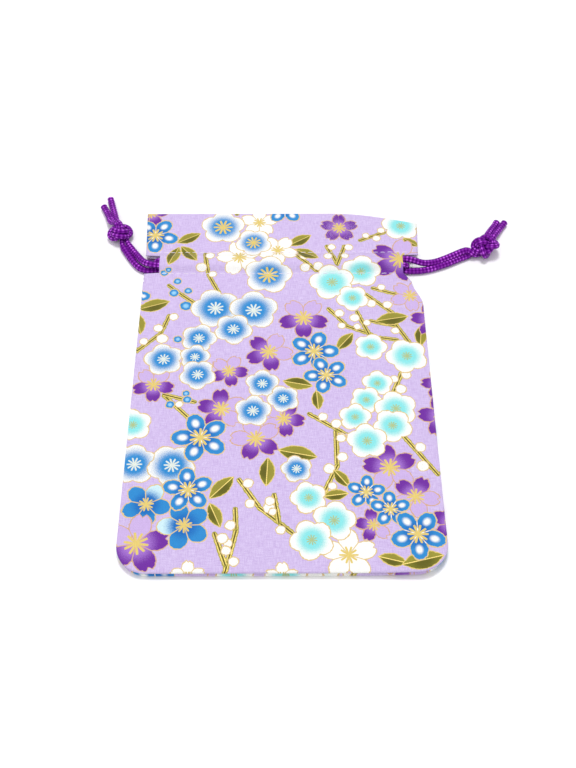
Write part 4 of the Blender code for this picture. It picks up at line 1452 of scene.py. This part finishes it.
def dress_cord(cord, material):
    """One side's two free ends with their knot, and the loop of the same cord inside the casing."""
    start = cord.mouth + math.copysign(INSIDE_MOUTH, cord.far)
    runs = (front_run(start, cord.mouth, cord.front_along), back_run(start, cord.mouth, cord))
    for strand, run, which in zip(tied_ends(cord), runs, ("front", "back")):
        free = free_strand(strand, knot_middle(cord))
        route = joined(smooth_route(run + [tuple(free[0])], ROUGH_STEP), free)
        piece, path = braid_tube(f"{cord.name}_cord_{which}_end", route, ROUTE_STEP)
        dress(piece, (material,), cord.node)
    turn = (
        cord.far + math.copysign(LOOP_PAST_MOUTH, cord.far), cord.loop_along, (FRONT_CORD + BACK_CORD) / 2,
        CORD_IN_CASING_WIDTH / 2, PRESSED_RADIUS,
    )
    loop = front_run(start, cord.far, cord.front_along) + [turn] + back_run(cord.far, start, cord)
    piece, _ = braid_tube(f"{cord.name}_cord_casing_loop", smooth_route(loop, CASING_STEP), CASING_STEP)
    dress(piece, (material,), cord.node)


def dress(piece, materials, node=None):
    """Gives a piece its materials and its body, and hides the CAD part that it stands for."""
    for material in materials:
        piece.data.materials.append(material)
    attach(piece, "root")
    if node:
        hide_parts(node)


def dress_panels():
    """The two printed panels and their stitching."""
    printed, reverse, thread = cotton_material(), reverse_material(), thread_material()
    for name, node, height, curl, strip, sign in (
        ("front_cloth", "front_panel", front_height, FRONT_CURL, FRONT_STRIP, 1),
        ("back_cloth", "back_panel", back_height, BACK_CURL, BACK_STRIP, -1),
    ):
        panel = make_panel(name, height, curl, strip, sign)
        dress(panel, (printed, reverse), node)
        print_on(panel, sign > 0)
        stitches = stitching(name + "_stitching", height, sign)
        dress(stitches, (thread,))


def make_camera():
    """The photograph's viewpoint."""
    data = bpy.data.cameras.new("camera")
    data.sensor_width = SENSOR
    data.lens = FOCAL_PIXELS * SENSOR / FRAME_HEIGHT_PIXELS
    data.clip_start = 0.01
    data.clip_end = 10
    camera = add_object("camera", data)
    camera.location = Vector(CAMERA_PLACE) * MM
    camera.rotation_euler = (math.pi / 2 - CAMERA_ELEVATION, 0, -CAMERA_YAW)
    bpy.context.scene.camera = camera


def make_floor():
    """A plain pale floor."""
    bpy.ops.mesh.primitive_plane_add(size=6, location=(0, 0, -0.00005))
    floor = bpy.context.object
    floor.name = "floor"
    material, n, shader = new_material("floor")
    n.put(shader, {"Base Color": (1, 1, 1, 1), "Roughness": 0.9, "Specular IOR Level": 0.1})
    floor.data.materials.append(material)


def area_light(name, place, size, power):
    """A square soft light that is aimed at the pouch's middle."""
    data = bpy.data.lights.new(name, "AREA")
    data.size = size
    data.energy = power
    light = add_object(name, data)
    light.location = place
    light.rotation_euler = (-Vector(place)).to_track_quat("-Z", "Y").to_euler()


def make_lights():
    """A high soft light behind the pouch and a bright even room."""
    area_light("key", *KEY_LIGHT)
    area_light("fill", *FILL_LIGHT)
    world = bpy.data.worlds.new("room")
    world.use_nodes = True
    room = world.node_tree.nodes["Background"].inputs
    room["Color"].default_value = (1, 1, 1, 1)
    room["Strength"].default_value = ROOM_LIGHT
    bpy.context.scene.world = world
    bpy.context.scene.view_settings.view_transform = "Standard"


make_camera()
make_floor()
make_lights()
braid = cord_material()
dress_cord(LEFT_CORD, braid)
dress_cord(RIGHT_CORD, braid)
dress_panels()
